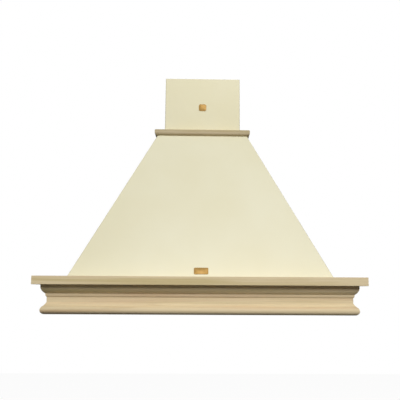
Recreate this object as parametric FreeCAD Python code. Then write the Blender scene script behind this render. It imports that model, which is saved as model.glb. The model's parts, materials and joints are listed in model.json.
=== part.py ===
import FreeCAD
import Part
import math
import os
from FreeCAD import Vector

# A wall-mounted cooker hood: a steel canopy and chimney cover on an oak shelf with a moulding.
# Millimetres. X to the right, Y towards the wall, Z up. The wall is the plane Y = 0, and the
# origin is the middle of the hood's lower edge on the wall.

# Oak shelf board
HOOD_WIDTH = 900.0
HOOD_DEPTH = 500.0
SHELF_THICKNESS = 23.0
SHELF_BOARD_WIDTH = 92.0
SHELF_EDGE_RADIUS = 1.2
SPLINE_LENGTH = 60.0
SPLINE_WIDTH = 24.0
SPLINE_THICKNESS = 4.0

# Oak moulding under the shelf, its members named from the top down
MOULDING_SETBACK = 19.5
FASCIA_HEIGHT = 7.0
OVOLO_WIDTH = 10.5
OVOLO_HEIGHT = 16.5
OVOLO_RADIUS = 24.0
FILLET_STEP = 0.5
FILLET_HEIGHT = 6.5
FILLET_SLOPE = 0.7
NECK_STEP = 2.8
NECK_CHAMFER = 3.5
NECK_HEIGHT = 15.0
QUIRK_STEP = 1.5
QUIRK_HEIGHT = 1.5
HOLLOW_WIDTH = 8.3
HOLLOW_HEIGHT = 8.5
HOLLOW_RADIUS = 30.0
OGEE_WIDTH = 4.0
OGEE_HEIGHT = 9.5
OGEE_RADIUS = 13.3
NOSE_RADIUS = 11.0
MOULDING_BACK = 54.0
TONGUE_WIDTH = 6.0
TONGUE_HEIGHT = 8.0
TONGUE_BACK = 14.0
GLUE_GAP = 0.1

# Painted steel canopy
SHEET = 1.0
CANOPY_LEDGE = 75.0
CANOPY_TOP_WIDTH = 292.0
CANOPY_TOP_DEPTH = 243.0
CANOPY_HEIGHT = 461.0
CANOPY_BEND = 2.5
TOP_FLANGE = 38.0
REAR_RETURN = 20.0

# Galvanised back panel
BACK_SHEET = 1.2
BACK_CLEARANCE = 0.5
WALL_HOLE_RADIUS = 4.0
WALL_HOLE_SPACING_X = 240.0
WALL_HOLE_SPACING_Z = 400.0
WALL_HOLE_LOW_Z = 130.0
RIVET_RADIUS = 1.6
RIVET_HEAD_RADIUS = 3.2
RIVET_HEAD_HEIGHT = 1.1
RIVET_ROWS = 4
RIVET_END_DISTANCE = 28.0
SUPPORT_RIVET_INSET = 15.0

# Chimney cover, and the section that slides out of it
CHIMNEY_WIDTH = 248.0
CHIMNEY_DEPTH = 220.0
CHIMNEY_HEIGHT = 204.0
CHIMNEY_BEND = 2.0
CHIMNEY_RETURN = 15.0
CHIMNEY_FOOT_FLANGE = 16.0
EXTENSION_SHEET = 0.8
EXTENSION_HEIGHT = 195.0
EXTENSION_GAP = 0.5
EXTENSION_RETURN = 20.0
BRACKET_SHEET = 1.5
BRACKET_HEIGHT = 20.0
BRACKET_BELOW_TOP = 4.0
BRACKET_EAR = 28.0
BRACKET_BOSS_RADIUS = 7.0
BRACKET_HOLE_RADIUS = 3.0
BRACKET_HOLE_SPACING = 120.0

# Oak cornice round the chimney's foot
CORNICE_OVERHANG = 31.0
CORNICE_HEIGHT = 20.0
CORNICE_GAP = 0.5
CORNICE_TOP_RADIUS = 5.0
CORNICE_BOTTOM_RADIUS = 9.0

# Brass trim
NAME_PLATE_WIDTH = 41.0
NAME_PLATE_HEIGHT = 20.0
NAME_PLATE_THICKNESS = 1.2
NAME_PLATE_CORNER = 3.0
NAME_PLATE_RISE = 17.0
BADGE_WIDTH = 25.0
BADGE_HEIGHT = 23.0
BADGE_THICKNESS = 1.6
BADGE_CORNER = 6.0
BADGE_RISE = 104.0

# Steel bottom panel: a tray behind the moulding
PANEL_RISE = 30.0
PANEL_GAP = 1.0
PANEL_FRONT_GAP = 2.0
PANEL_RIM = 20.0

# Grease filters
FILTER_OPENING = 290.0
FILTER_BAR = 20.0
FILTER_GAP = 1.5
FILTER_THICKNESS = 8.0
FILTER_SHEET = 1.0
FILTER_LIP = 12.0
FILTER_GRID_BARS = 4
FILTER_GRID_WIDTH = 3.0
FILTER_PLEATS = 16
PLEAT_SHEET = 0.8
TAB_WIDTH = 30.0
TAB_LENGTH = 8.0
TAB_THICKNESS = 1.5
TAB_INSET = 45.0
CLIP_WIDTH = 20.0
CLIP_HEIGHT = 3.0
CLIP_GAP = 0.1
RING_PIVOT_RADIUS = 1.25
RING_WIDTH = 32.0
RING_DROP = 12.0
RING_BAR = 2.5
RING_CLIP_LENGTH = 14.0
RING_CLIP_WALL = 1.1
RUNNING_GAP = 0.05

# Lamps and controls in the front strip of the bottom panel
STRIP_DEPTH = 94.0
LAMP_INSET = 145.0
LAMP_HOLE_WIDTH = 104.0
LAMP_HOLE_DEPTH = 50.0
LAMP_BEZEL_LAP = 6.0
LAMP_BEZEL_RIM = 11.0
LAMP_BEZEL_THICKNESS = 2.0
LAMP_BEZEL_CORNER = 6.0
LAMP_FIT = 0.3
LAMP_LENS_THICKNESS = 2.0
LAMP_CAN_LAP = 3.0
LAMP_CAN_HEIGHT = 31.0
LAMP_CAN_SHEET = 1.0
BULB_RADIUS = 9.0
BULB_LENGTH = 72.0
BULB_SIDES = 24
CONTROL_WIDTH = 150.0
CONTROL_DEPTH = 32.0
CONTROL_THICKNESS = 1.5
CONTROL_CORNER = 3.0
CONTROL_CUTOUT_WIDTH = 124.0
CONTROL_CUTOUT_DEPTH = 16.0
SWITCH_WIDTH = 134.0
SWITCH_DEPTH = 28.0
SWITCH_HEIGHT = 24.0
SLIDER_STEM_WIDTH = 8.0
SLIDER_STEM_DEPTH = 5.0
SLIDER_GAP = 0.3
SLIDER_CAP_WIDTH = 12.0
SLIDER_CAP_DEPTH = 15.0
SLIDER_CAP_HEIGHT = 6.5
SLIDER_CHAMFER = 1.5
SLIDER_SHOE = 10.0
SLIDER_SHOE_HEIGHT = 2.0
SLIDER_RISE = 10.0
SPEED_REST = -46.0
SPEED_TRAVEL = 24.0
LIGHT_REST = 24.0
LIGHT_TRAVEL = 8.0

# Fan: a double-inlet impeller in a volute of quarter arcs
DUCT_DEPTH = 110.0
SUPPORT_RISE = 400.0
FAN_DROP = 135.0
VOLUTE_RADIUS = 129.0
VOLUTE_STEP = 12.0
TONGUE_ANGLE = 75.0
SCROLL_HALF_WIDTH = 70.0
SCROLL_WALL = 2.0
SEAM_LUG = 9.0
SEAM_THICKNESS = 2.5
NECK_FLANGE = 12.0
NECK_FLANGE_THICKNESS = 3.0
INLET_RADIUS = 62.0
FUNNEL_DEPTH = 10.0
IMPELLER_RADIUS = 90.0
IMPELLER_INNER_RADIUS = 74.0
IMPELLER_HALF_WIDTH = 55.0
IMPELLER_RING = 2.0
IMPELLER_DISC = 1.5
DISC_RADIUS = 80.0
BLADES = 24
WHEEL_SIDES = 48
BLADE_SHEET = 1.2
BLADE_TURN = 50.0
BLADE_FLATS = 2
BLADE_INSET = 1.2
HUB_RADIUS = 12.0
HUB_FRONT = 10.0
HUB_BACK = 6.0
SHAFT_RADIUS = 4.0
SHAFT_TAIL = 50.0
MOTOR_RADIUS = 40.0
MOTOR_LENGTH = 60.0
MOTOR_SIDES = 36
MOTOR_ARM_WIDTH = 16.0
MOTOR_ARM_REACH = 84.0
MOTOR_PLATE_RADIUS = 30.0
MOTOR_PLATE_SHEET = 2.0
MOTOR_ARMS = 3
MOTOR_SCREW_RADIUS = 20.0
ARM_SCREW_RADIUS = 79.0

# Fan support and outlet spigot
SUPPORT_SHEET = 1.5
SUPPORT_WIDTH = 176.0
SUPPORT_DEPTH = 240.0
GUSSET_HEIGHT = 75.0
SPIGOT_RADIUS = 59.5
SPIGOT_WALL = 2.0
SPIGOT_TOP = 480.0
ADAPTER_FLANGE = 3.0
DAMPER_RISE = 440.0
DAMPER_PIN_RADIUS = 1.25
DAMPER_KNUCKLE_RADIUS = 2.6
DAMPER_SHEET = 1.0
DAMPER_GAP = 1.0
DAMPER_ROOT = 3.2
DAMPER_KNUCKLE_SPLIT = 30.0
DAMPER_KNUCKLE_GAP = 0.6
DAMPER_LUG = 4.0

# Electrical parts on the back panel
TERMINAL_BOX_WIDTH = 80.0
TERMINAL_BOX_HEIGHT = 80.0
TERMINAL_BOX_DEPTH = 44.0
TERMINAL_BOX_RISE = 265.0
TERMINAL_BOX_WALL = 1.5
TERMINAL_BOX_EAR = 12.0
TERMINAL_BOX_EAR_HEIGHT = 26.0
CAPACITOR_RADIUS = 15.0
CAPACITOR_LENGTH = 55.0
CAPACITOR_OFFSET = 20.0
CAPACITOR_GAP = 0.3
CAPACITOR_SIDES = 24
BLOCK_WIDTH = 16.0
BLOCK_DEPTH = 15.0
BLOCK_LENGTH = 46.0
BLOCK_POLES = 5
BLOCK_GROOVE_DEPTH = 5.0
BLOCK_GROOVE_WIDTH = 2.4
GLAND_RADIUS = 9.0
GLAND_BORE = 4.5
GLAND_THREAD_RADIUS = 6.5
GLAND_NUT = 5.0
GLAND_REACH = 10.0
GLAND_CLEARANCE = 10.0
GLAND_INSET = 13.0

# Screws
SCREW_RADIUS = 2.0
SCREW_HEAD_RADIUS = 3.8
SCREW_HEAD_HEIGHT = 2.2
SCREW_GAP = 0.1
SCREW_INSET = 6.0
SCREW_END = 60.0
FRONT_SCREWS = 3
SIDE_SCREWS = 2
WOOD_SCREW_DEPTH = 15.0
METAL_SCREW_DEPTH = 6.0
FAN_SCREW_DEPTH = 10.0
FAN_SCREW_INSET = 30.0

# Heights and places that follow from the sizes above
MOULDING_HEIGHT = (FASCIA_HEIGHT + OVOLO_HEIGHT + FILLET_HEIGHT + NECK_CHAMFER
                   + NECK_HEIGHT + QUIRK_HEIGHT + HOLLOW_HEIGHT + OGEE_HEIGHT + NOSE_RADIUS)
SHELF_TOP = MOULDING_HEIGHT + SHELF_THICKNESS
CANOPY_TOP = SHELF_TOP + CANOPY_HEIGHT
CANOPY_FOOT_WIDTH = HOOD_WIDTH - 2 * CANOPY_LEDGE
CANOPY_FOOT_DEPTH = HOOD_DEPTH - CANOPY_LEDGE
CHIMNEY_TOP = CANOPY_TOP + CHIMNEY_HEIGHT
SIDE_SLOPE = (CANOPY_FOOT_WIDTH - CANOPY_TOP_WIDTH) / 2 / CANOPY_HEIGHT
FRONT_SLOPE = (CANOPY_FOOT_DEPTH - CANOPY_TOP_DEPTH) / CANOPY_HEIGHT
SIDE_LEAN = math.hypot(1, SIDE_SLOPE)
FRONT_LEAN = math.hypot(1, FRONT_SLOPE)
OPENING_HALF_WIDTH = HOOD_WIDTH / 2 - SHELF_BOARD_WIDTH
OPENING_DEPTH = HOOD_DEPTH - SHELF_BOARD_WIDTH
PANEL_HALF_WIDTH = HOOD_WIDTH / 2 - MOULDING_BACK - PANEL_GAP
LAMP_SPREAD = PANEL_HALF_WIDTH - LAMP_INSET
PANEL_DEPTH = HOOD_DEPTH - MOULDING_BACK - PANEL_FRONT_GAP
PANEL_TOP = PANEL_RISE + SHEET
FILTER_FRONT = PANEL_DEPTH - STRIP_DEPTH
FILTER_REAR = FILTER_FRONT - FILTER_OPENING
STRIP_CENTRE = PANEL_DEPTH - STRIP_DEPTH / 2
VOLUTE_HALF_STEP = VOLUTE_STEP / 2
TONGUE_REACH = (VOLUTE_RADIUS - 3 * VOLUTE_STEP) * math.cos(math.radians(TONGUE_ANGLE)) - VOLUTE_HALF_STEP
VOLUTE_REACH = VOLUTE_HALF_STEP + VOLUTE_RADIUS
OUTLET_HALF_DEPTH = (VOLUTE_REACH - TONGUE_REACH) / 2
OUTLET_HALF_WIDTH = SCROLL_HALF_WIDTH - SCROLL_WALL
FAN_Y = -DUCT_DEPTH - (VOLUTE_REACH + TONGUE_REACH) / 2
FAN_Z = SUPPORT_RISE - FAN_DROP
SUPPORT_TOP = SUPPORT_RISE + SUPPORT_SHEET
SPIGOT_BORE = SPIGOT_RADIUS - SPIGOT_WALL
GLAND_X = SUPPORT_WIDTH / 2 + GLAND_CLEARANCE
TERMINAL_BOX_X = GLAND_X - GLAND_INSET + TERMINAL_BOX_WIDTH / 2
X_AXIS = Vector(1, 0, 0)
Y_AXIS = Vector(0, 1, 0)
Z_AXIS = Vector(0, 0, 1)
ORIGIN = Vector(0, 0, 0)
FULL_TURN = 360.0
PAST = 2.0


def box(x, y, z):
    """A box between the low and high values of each axis."""
    return Part.makeBox(x[1] - x[0], y[1] - y[0], z[1] - z[0], Vector(x[0], y[0], z[0]))


def rod(radius, start, end):
    """A round bar from one point to another."""
    run = end - start
    return Part.makeCylinder(radius, run.Length, start, run)


def joined(shapes):
    """One shape from several that overlap or share a face."""
    return shapes[0].multiFuse(shapes[1:]).removeSplitter()


def mirrored(shape):
    """The same shape on the other side of the hood's middle plane."""
    return shape.mirror(ORIGIN, X_AXIS)


def spread(low, high, count):
    """Evenly spaced values from low to high."""
    return [low + (high - low) * i / (count - 1) for i in range(count)]


def closed_wire(points):
    """A closed outline of straight lines."""
    return Part.makePolygon(points + points[:1])


def prism(points, run):
    """A solid with a straight-sided outline, drawn out along a run."""
    return Part.Face(closed_wire(points)).extrude(run)


def arc_middle(start, end, radius):
    """The middle of an arc. A positive radius bows to the right of the run, a negative to the left."""
    u = end[0] - start[0]
    v = end[1] - start[1]
    chord = math.hypot(u, v)
    bow = abs(radius) - math.sqrt(radius * radius - chord * chord / 4)
    side = math.copysign(bow / chord, radius)
    return ((start[0] + end[0]) / 2 + v * side, (start[1] + end[1]) / 2 - u * side)


def in_yz(y, z):
    return Vector(0, y, z)


def section(steps, place=in_yz):
    """A face from (u, v) steps. A third value is the radius of the arc that arrives there.

    Steps run anticlockwise, so that a positive radius is a round edge and a negative one a hollow.
    """
    edges = []
    for start, end in zip(steps, steps[1:] + steps[:1]):
        a = place(start[0], start[1])
        b = place(end[0], end[1])
        if len(end) == 3:
            edges.append(Part.Arc(a, place(*arc_middle(start, end, end[2])), b).toShape())
        else:
            edges.append(Part.LineSegment(a, b).toShape())
    return Part.Face(Part.Wire(edges))


def turned(steps, centre, axis):
    """A solid turned about an axis from (along, radius) steps."""
    side = Y_AXIS if axis.y == 0 else X_AXIS
    face = section(steps, lambda along, radius: centre + axis * along + side * radius)
    return face.revolve(centre, axis, FULL_TURN)


def mitred(bar, corners):
    """A bar cut to the ground plan that its mitres leave."""
    low = bar.BoundBox.ZMin - PAST
    plan = [Vector(x, y, low) for x, y in corners]
    return bar.common(prism(plan, Vector(0, 0, bar.BoundBox.ZLength + 2 * PAST)))


def front_run(steps, width, depth):
    """A profile of (inset, height) along the front of a rectangle, mitred at both ends."""
    face = section(steps)
    face.translate(Vector(-width / 2, -depth, 0))
    bar = face.extrude(Vector(width, 0, 0))
    return mitred(bar, [(-width / 2, -depth), (width / 2, -depth), (0, width / 2 - depth)])


def left_run(steps, width, depth):
    """The same profile along the left side, mitred in front and square at the wall."""
    face = section(steps)
    face.rotate(ORIGIN, Z_AXIS, -90)
    face.translate(Vector(-width / 2, -depth, 0))
    bar = face.extrude(Vector(0, depth, 0))
    return mitred(bar, [(-width / 2, -depth), (depth - width / 2, 0), (-width / 2, 0)])


def sided_bar(sides, radius, start, end):
    """A bar with flat sides, its corners on a circle. It runs along one of the three axes."""
    run = end - start
    across = Y_AXIS if abs(run.x) > abs(run.y) + abs(run.z) else X_AXIS
    beside = run.cross(across)
    beside.normalize()
    corners = []
    for i in range(sides):
        angle = math.radians(FULL_TURN * i / sides)
        corners.append(start + across * (radius * math.cos(angle)) + beside * (radius * math.sin(angle)))
    return prism(corners, run)


def hex_bar(radius, start, end):
    return sided_bar(6, radius, start, end)


def screws(seats, direction, depth):
    """Hexagon-head screws, their shanks six-sided too. Each head sits on its point."""
    made = []
    for seat in seats:
        shank = hex_bar(SCREW_RADIUS, seat, seat + direction * depth)
        head = hex_bar(SCREW_HEAD_RADIUS, seat - direction * SCREW_HEAD_HEIGHT, seat)
        made.append(joined([shank, head]))
    return made


def drilled(shape, seats, direction, depth):
    """A shape with the holes that such screws pass through."""
    reach = direction * (depth + SCREW_GAP)
    return shape.cut([hex_bar(SCREW_RADIUS + SCREW_GAP, seat, seat + reach) for seat in seats])


def rivet(x, z, grip):
    """A rivet through sheets that lie on the wall plane, flush there and headed inside."""
    outer = Vector(x, 0, z)
    inner = Vector(x, -grip, z)
    head = hex_bar(RIVET_HEAD_RADIUS, inner, Vector(x, -grip - RIVET_HEAD_HEIGHT, z))
    return joined([hex_bar(RIVET_RADIUS, outer, inner), head])


def riveted(shape, seats):
    """A sheet with the holes for those rivets."""
    holes = []
    for x, z, grip in seats:
        holes.append(hex_bar(RIVET_RADIUS + SCREW_GAP, Vector(x, PAST, z), Vector(x, -grip - PAST, z)))
    return shape.cut(holes)


def rounded_plate(width, height, thickness, corner):
    """An upright plate with round corners, its back at Y = 0 and its face towards -Y."""
    plate = box((-width / 2, width / 2), (-thickness, 0), (-height / 2, height / 2))
    corners = [e for e in plate.Edges if abs(e.tangentAt(e.FirstParameter).y) > 0.9]
    return plate.makeFillet(corner, corners)


# ---------------------------------------------------------------- oak


def shelf_profile():
    """The board's section, with eased outer edges and the groove for the moulding's tongue."""
    groove_back = MOULDING_BACK - TONGUE_BACK + GLUE_GAP
    groove_front = groove_back - TONGUE_WIDTH - 2 * GLUE_GAP
    groove_top = MOULDING_HEIGHT + TONGUE_HEIGHT + GLUE_GAP
    return [
        (SHELF_EDGE_RADIUS, MOULDING_HEIGHT, SHELF_EDGE_RADIUS),
        (groove_front, MOULDING_HEIGHT),
        (groove_front, groove_top),
        (groove_back, groove_top),
        (groove_back, MOULDING_HEIGHT),
        (SHELF_BOARD_WIDTH, MOULDING_HEIGHT),
        (SHELF_BOARD_WIDTH, SHELF_TOP),
        (SHELF_EDGE_RADIUS, SHELF_TOP),
        (0, SHELF_TOP - SHELF_EDGE_RADIUS, SHELF_EDGE_RADIUS),
        (0, MOULDING_HEIGHT + SHELF_EDGE_RADIUS),
    ]


def shelf_spline():
    """The loose tongue across the left mitre, flat in the middle of the board."""
    middle = SHELF_BOARD_WIDTH / 2
    height = MOULDING_HEIGHT + SHELF_THICKNESS / 2
    spline = box(
        (-SPLINE_LENGTH / 2, SPLINE_LENGTH / 2),
        (-SPLINE_WIDTH / 2, SPLINE_WIDTH / 2),
        (-SPLINE_THICKNESS / 2, SPLINE_THICKNESS / 2),
    )
    spline.rotate(ORIGIN, Z_AXIS, 45)
    spline.translate(Vector(middle - HOOD_WIDTH / 2, middle - HOOD_DEPTH, height))
    return spline


def shelf_boards():
    """The front board and the left one, with the slots and screw holes that they hold."""
    splines = [shelf_spline(), mirrored(shelf_spline())]
    boards = []
    for run in (front_run, left_run):
        board = run(shelf_profile(), HOOD_WIDTH, HOOD_DEPTH).cut(splines)
        board = drilled(board, canopy_screw_seats(), -Z_AXIS, WOOD_SCREW_DEPTH)
        boards.append(drilled(board, panel_screw_seats(), Z_AXIS, WOOD_SCREW_DEPTH))
    return boards


def moulding_profile():
    """The moulding's section from nose to fascia, by its members, with its tongue."""
    fascia = MOULDING_SETBACK
    fillet = fascia + OVOLO_WIDTH
    fillet_foot = fillet + FILLET_STEP + FILLET_SLOPE
    neck = fillet_foot + NECK_STEP
    quirk = neck - QUIRK_STEP
    ogee = quirk - HOLLOW_WIDTH
    nose = ogee - OGEE_WIDTH
    ogee_high = NOSE_RADIUS + OGEE_HEIGHT
    quirk_low = ogee_high + HOLLOW_HEIGHT
    neck_low = quirk_low + QUIRK_HEIGHT
    neck_high = neck_low + NECK_HEIGHT
    fillet_low = neck_high + NECK_CHAMFER
    fillet_high = fillet_low + FILLET_HEIGHT
    fascia_low = fillet_high + OVOLO_HEIGHT
    tongue_back = MOULDING_BACK - TONGUE_BACK
    tongue_front = tongue_back - TONGUE_WIDTH
    tongue_top = MOULDING_HEIGHT + TONGUE_HEIGHT
    return [
        (nose + NOSE_RADIUS, 0, NOSE_RADIUS),
        (MOULDING_BACK, 0),
        (MOULDING_BACK, MOULDING_HEIGHT),
        (tongue_back, MOULDING_HEIGHT),
        (tongue_back, tongue_top),
        (tongue_front, tongue_top),
        (tongue_front, MOULDING_HEIGHT),
        (fascia, MOULDING_HEIGHT),
        (fascia, fascia_low),
        (fillet, fillet_high, OVOLO_RADIUS),
        (fillet + FILLET_STEP, fillet_high),
        (fillet_foot, fillet_low),
        (neck, neck_high),
        (neck, neck_low),
        (quirk, neck_low),
        (quirk, quirk_low),
        (ogee, ogee_high, -HOLLOW_RADIUS),
        (nose, NOSE_RADIUS, OGEE_RADIUS),
    ]


def cornice_profile():
    """The cornice's section: a round front over a larger round underneath."""
    foot = CANOPY_TOP
    top = CANOPY_TOP + CORNICE_HEIGHT
    back = CORNICE_OVERHANG - CORNICE_GAP
    return [
        (CORNICE_BOTTOM_RADIUS, foot, CORNICE_BOTTOM_RADIUS),
        (back, foot),
        (back, top),
        (CORNICE_TOP_RADIUS, top),
        (0, top - CORNICE_TOP_RADIUS, CORNICE_TOP_RADIUS),
        (0, foot + CORNICE_BOTTOM_RADIUS),
    ]


def cornice_pieces():
    """The cornice's front and left pieces, drilled for the screws that come up from the canopy."""
    width = CHIMNEY_WIDTH + 2 * CORNICE_OVERHANG
    depth = CHIMNEY_DEPTH + CORNICE_OVERHANG
    pieces = []
    for run in (front_run, left_run):
        piece = run(cornice_profile(), width, depth)
        pieces.append(drilled(piece, cornice_screw_seats(), Z_AXIS, WOOD_SCREW_DEPTH))
    return pieces


# ---------------------------------------------------------------- canopy


def canopy_screw_seats():
    """Screws through the canopy's foot flange into the shelf."""
    x = OPENING_HALF_WIDTH + SCREW_INSET
    y = -OPENING_DEPTH - SCREW_INSET
    z = SHELF_TOP + SHEET
    seats = [Vector(across, y, z) for across in spread(SCREW_END - x, x - SCREW_END, FRONT_SCREWS)]
    for along in spread(y + SCREW_END, -SCREW_END, SIDE_SCREWS):
        seats += [Vector(-x, along, z), Vector(x, along, z)]
    return seats


def panel_screw_seats():
    """Screws up through the bottom panel's rim into the shelf."""
    x = PANEL_HALF_WIDTH - PANEL_RIM / 2
    y = PANEL_RIM / 2 - PANEL_DEPTH
    z = MOULDING_HEIGHT - SHEET
    seats = [Vector(across, y, z) for across in spread(SCREW_END - x, x - SCREW_END, FRONT_SCREWS)]
    for along in spread(y + SCREW_END, -SCREW_END, SIDE_SCREWS):
        seats += [Vector(-x, along, z), Vector(x, along, z)]
    return seats


def cornice_screw_seats():
    """Screws up through the canopy's top flange into the cornice."""
    x = CHIMNEY_WIDTH / 2 + SCREW_INSET + CORNICE_GAP + SCREW_HEAD_RADIUS
    y = -CHIMNEY_DEPTH - SCREW_INSET - SCREW_HEAD_RADIUS
    z = CANOPY_TOP - SHEET
    seats = [Vector(across, y, z) for across in (SCREW_END - x, x - SCREW_END)]
    return seats + [Vector(-x, -SCREW_END, z), Vector(x, -SCREW_END, z)]


def chimney_screw_seats():
    """Screws down through the chimney cover's foot flange into the canopy's top flange."""
    inset = CHIMNEY_FOOT_FLANGE - SCREW_INSET
    x = CHIMNEY_WIDTH / 2 - inset
    y = inset - CHIMNEY_DEPTH
    z = CANOPY_TOP + SHEET
    seats = [Vector(across, y, z) for across in (SCREW_END - x, x - SCREW_END)]
    return seats + [Vector(-x, -SCREW_END, z), Vector(x, -SCREW_END, z)]


def canopy_half_width(z):
    return CANOPY_FOOT_WIDTH / 2 - (z - SHELF_TOP) * SIDE_SLOPE


def canopy_pyramid(inset, rear):
    """The canopy's solid pyramid, moved in square to its sloping sheets, with folded front edges."""
    across = []
    along = []
    for z in (SHELF_TOP, CANOPY_TOP):
        half = canopy_half_width(z) - inset * SIDE_LEAN
        front = (z - SHELF_TOP) * FRONT_SLOPE - CANOPY_FOOT_DEPTH + inset * FRONT_LEAN
        across.append((Vector(-half, -HOOD_DEPTH, z), Vector(half, -HOOD_DEPTH, z)))
        along.append((Vector(-HOOD_WIDTH, front, z), Vector(-HOOD_WIDTH, rear, z)))
    from_front = prism([*across[0], *reversed(across[1])], Y_AXIS * (2 * HOOD_DEPTH))
    from_side = prism([*along[0], *reversed(along[1])], X_AXIS * (2 * HOOD_WIDTH))
    pyramid = from_front.common(from_side)
    folds = [e for e in pyramid.Edges if e.BoundBox.YMax < -PAST and e.BoundBox.ZLength > CANOPY_HEIGHT / 2]
    return pyramid.makeFillet(CANOPY_BEND - inset, folds)


def canopy_shell():
    """Three sloping sheets with flanges at the foot and the top and returns along the back."""
    rear = -BACK_SHEET
    all_x = (-HOOD_WIDTH, HOOD_WIDTH)
    all_y = (-HOOD_DEPTH, PAST)
    outer = canopy_pyramid(0, rear)
    walls = outer.cut(canopy_pyramid(SHEET, PAST))
    foot = outer.common(box(all_x, all_y, (SHELF_TOP, SHELF_TOP + SHEET)))
    hole = (-OPENING_HALF_WIDTH, OPENING_HALF_WIDTH), (-OPENING_DEPTH, PAST), (0, CANOPY_TOP)
    foot = foot.cut(box(*hole))
    top = outer.common(box(all_x, all_y, (CANOPY_TOP - SHEET, CANOPY_TOP)))
    half = CANOPY_TOP_WIDTH / 2 - TOP_FLANGE
    top = top.cut(box((-half, half), (TOP_FLANGE - CANOPY_TOP_DEPTH, PAST), (0, 2 * CANOPY_TOP)))
    returns = outer.common(box(all_x, (rear - SHEET, rear), (SHELF_TOP, CANOPY_TOP)))
    inset = REAR_RETURN * SIDE_LEAN
    low = canopy_half_width(SHELF_TOP) - inset
    high = canopy_half_width(CANOPY_TOP) - inset
    corners = [(-low, SHELF_TOP), (low, SHELF_TOP), (high, CANOPY_TOP), (-high, CANOPY_TOP)]
    space = prism([Vector(x, -HOOD_DEPTH, z) for x, z in corners], Vector(0, 2 * HOOD_DEPTH, 0))
    shell = joined([walls, foot, top, returns.cut(space)])
    shell = drilled(shell, canopy_screw_seats(), -Z_AXIS, METAL_SCREW_DEPTH)
    shell = drilled(shell, cornice_screw_seats(), Z_AXIS, METAL_SCREW_DEPTH)
    shell = drilled(shell, chimney_screw_seats(), -Z_AXIS, METAL_SCREW_DEPTH)
    return riveted(shell, canopy_rivets())


def canopy_rivets():
    """Rivets through the back panel and the canopy's rear returns, as (x, z, grip)."""
    seats = []
    heights = spread(SHELF_TOP + RIVET_END_DISTANCE, CANOPY_TOP - RIVET_END_DISTANCE, RIVET_ROWS)
    for z in heights:
        x = canopy_half_width(z) - REAR_RETURN * SIDE_LEAN / 2
        seats += [(-x, z, BACK_SHEET + SHEET), (x, z, BACK_SHEET + SHEET)]
    return seats


def panel_rivets():
    """Rivets through the back panel and the bottom panel's rear wall."""
    z = (PANEL_TOP + MOULDING_HEIGHT) / 2
    x = PANEL_HALF_WIDTH - SCREW_END
    return [(-x, z, BACK_SHEET + SHEET), (x, z, BACK_SHEET + SHEET)]


def support_rivets():
    """Rivets through the back panel and the fan support's rear flange."""
    x = SUPPORT_WIDTH / 2 - RIVET_END_DISTANCE
    heights = (SUPPORT_TOP + RIVET_END_DISTANCE, SUPPORT_RISE + GUSSET_HEIGHT - SUPPORT_RIVET_INSET)
    return [(side * x, z, BACK_SHEET + SUPPORT_SHEET) for side in (-1, 1) for z in heights]


def terminal_rivets():
    """Rivets through the back panel and the terminal box's ears."""
    reach = (TERMINAL_BOX_WIDTH + TERMINAL_BOX_EAR) / 2
    z = TERMINAL_BOX_RISE + TERMINAL_BOX_HEIGHT / 2
    grip = BACK_SHEET + TERMINAL_BOX_WALL
    return [(TERMINAL_BOX_X - reach, z, grip), (TERMINAL_BOX_X + reach, z, grip)]


def back_panel():
    """The galvanised sheet on the wall: under the shelf, between its boards and behind the canopy."""
    narrow = OPENING_HALF_WIDTH - BACK_CLEARANCE
    right = [
        (PANEL_HALF_WIDTH, 0),
        (PANEL_HALF_WIDTH, MOULDING_HEIGHT),
        (narrow, MOULDING_HEIGHT),
        (narrow, SHELF_TOP),
        (CANOPY_FOOT_WIDTH / 2, SHELF_TOP),
        (CANOPY_TOP_WIDTH / 2, CANOPY_TOP),
    ]
    outline = right + [(-x, z) for x, z in reversed(right)]
    panel = prism([Vector(x, 0, z) for x, z in outline], Vector(0, -BACK_SHEET, 0))
    holes = []
    for x in (-WALL_HOLE_SPACING_X / 2, WALL_HOLE_SPACING_X / 2):
        for z in (WALL_HOLE_LOW_Z, WALL_HOLE_LOW_Z + WALL_HOLE_SPACING_Z):
            holes.append(rod(WALL_HOLE_RADIUS, Vector(x, PAST, z), Vector(x, -BACK_SHEET - PAST, z)))
    return riveted(panel.cut(holes), all_rivets())


def all_rivets():
    return canopy_rivets() + panel_rivets() + support_rivets() + terminal_rivets()


def name_plate():
    """The blank plate at the foot of the canopy's sloping front."""
    plate = rounded_plate(NAME_PLATE_WIDTH, NAME_PLATE_HEIGHT, NAME_PLATE_THICKNESS, NAME_PLATE_CORNER)
    plate.rotate(ORIGIN, X_AXIS, -math.degrees(math.atan(FRONT_SLOPE)))
    front = NAME_PLATE_RISE * FRONT_SLOPE - CANOPY_FOOT_DEPTH
    plate.translate(Vector(0, front, SHELF_TOP + NAME_PLATE_RISE))
    return plate


# ---------------------------------------------------------------- chimney


def channel(width, front, rear, foot, top, sheet, bend, lip):
    """A folded sheet round three sides of a duct, with returns along the wall side."""
    outer = box((-width / 2, width / 2), (front, rear), (foot, top))
    inner = box(
        (sheet - width / 2, width / 2 - sheet), (front + sheet, rear - sheet), (foot - PAST, top + PAST)
    )
    for_folds = []
    for block, radius in ((outer, bend), (inner, bend - sheet)):
        folds = [e for e in block.Edges if e.BoundBox.ZLength > 1 and e.BoundBox.YMax < front + bend]
        for_folds.append(block.makeFillet(radius, folds))
    slot = box((lip - width / 2, width / 2 - lip), (front + bend, rear + PAST), (foot - PAST, top + PAST))
    return for_folds[0].cut([for_folds[1], slot])


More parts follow.
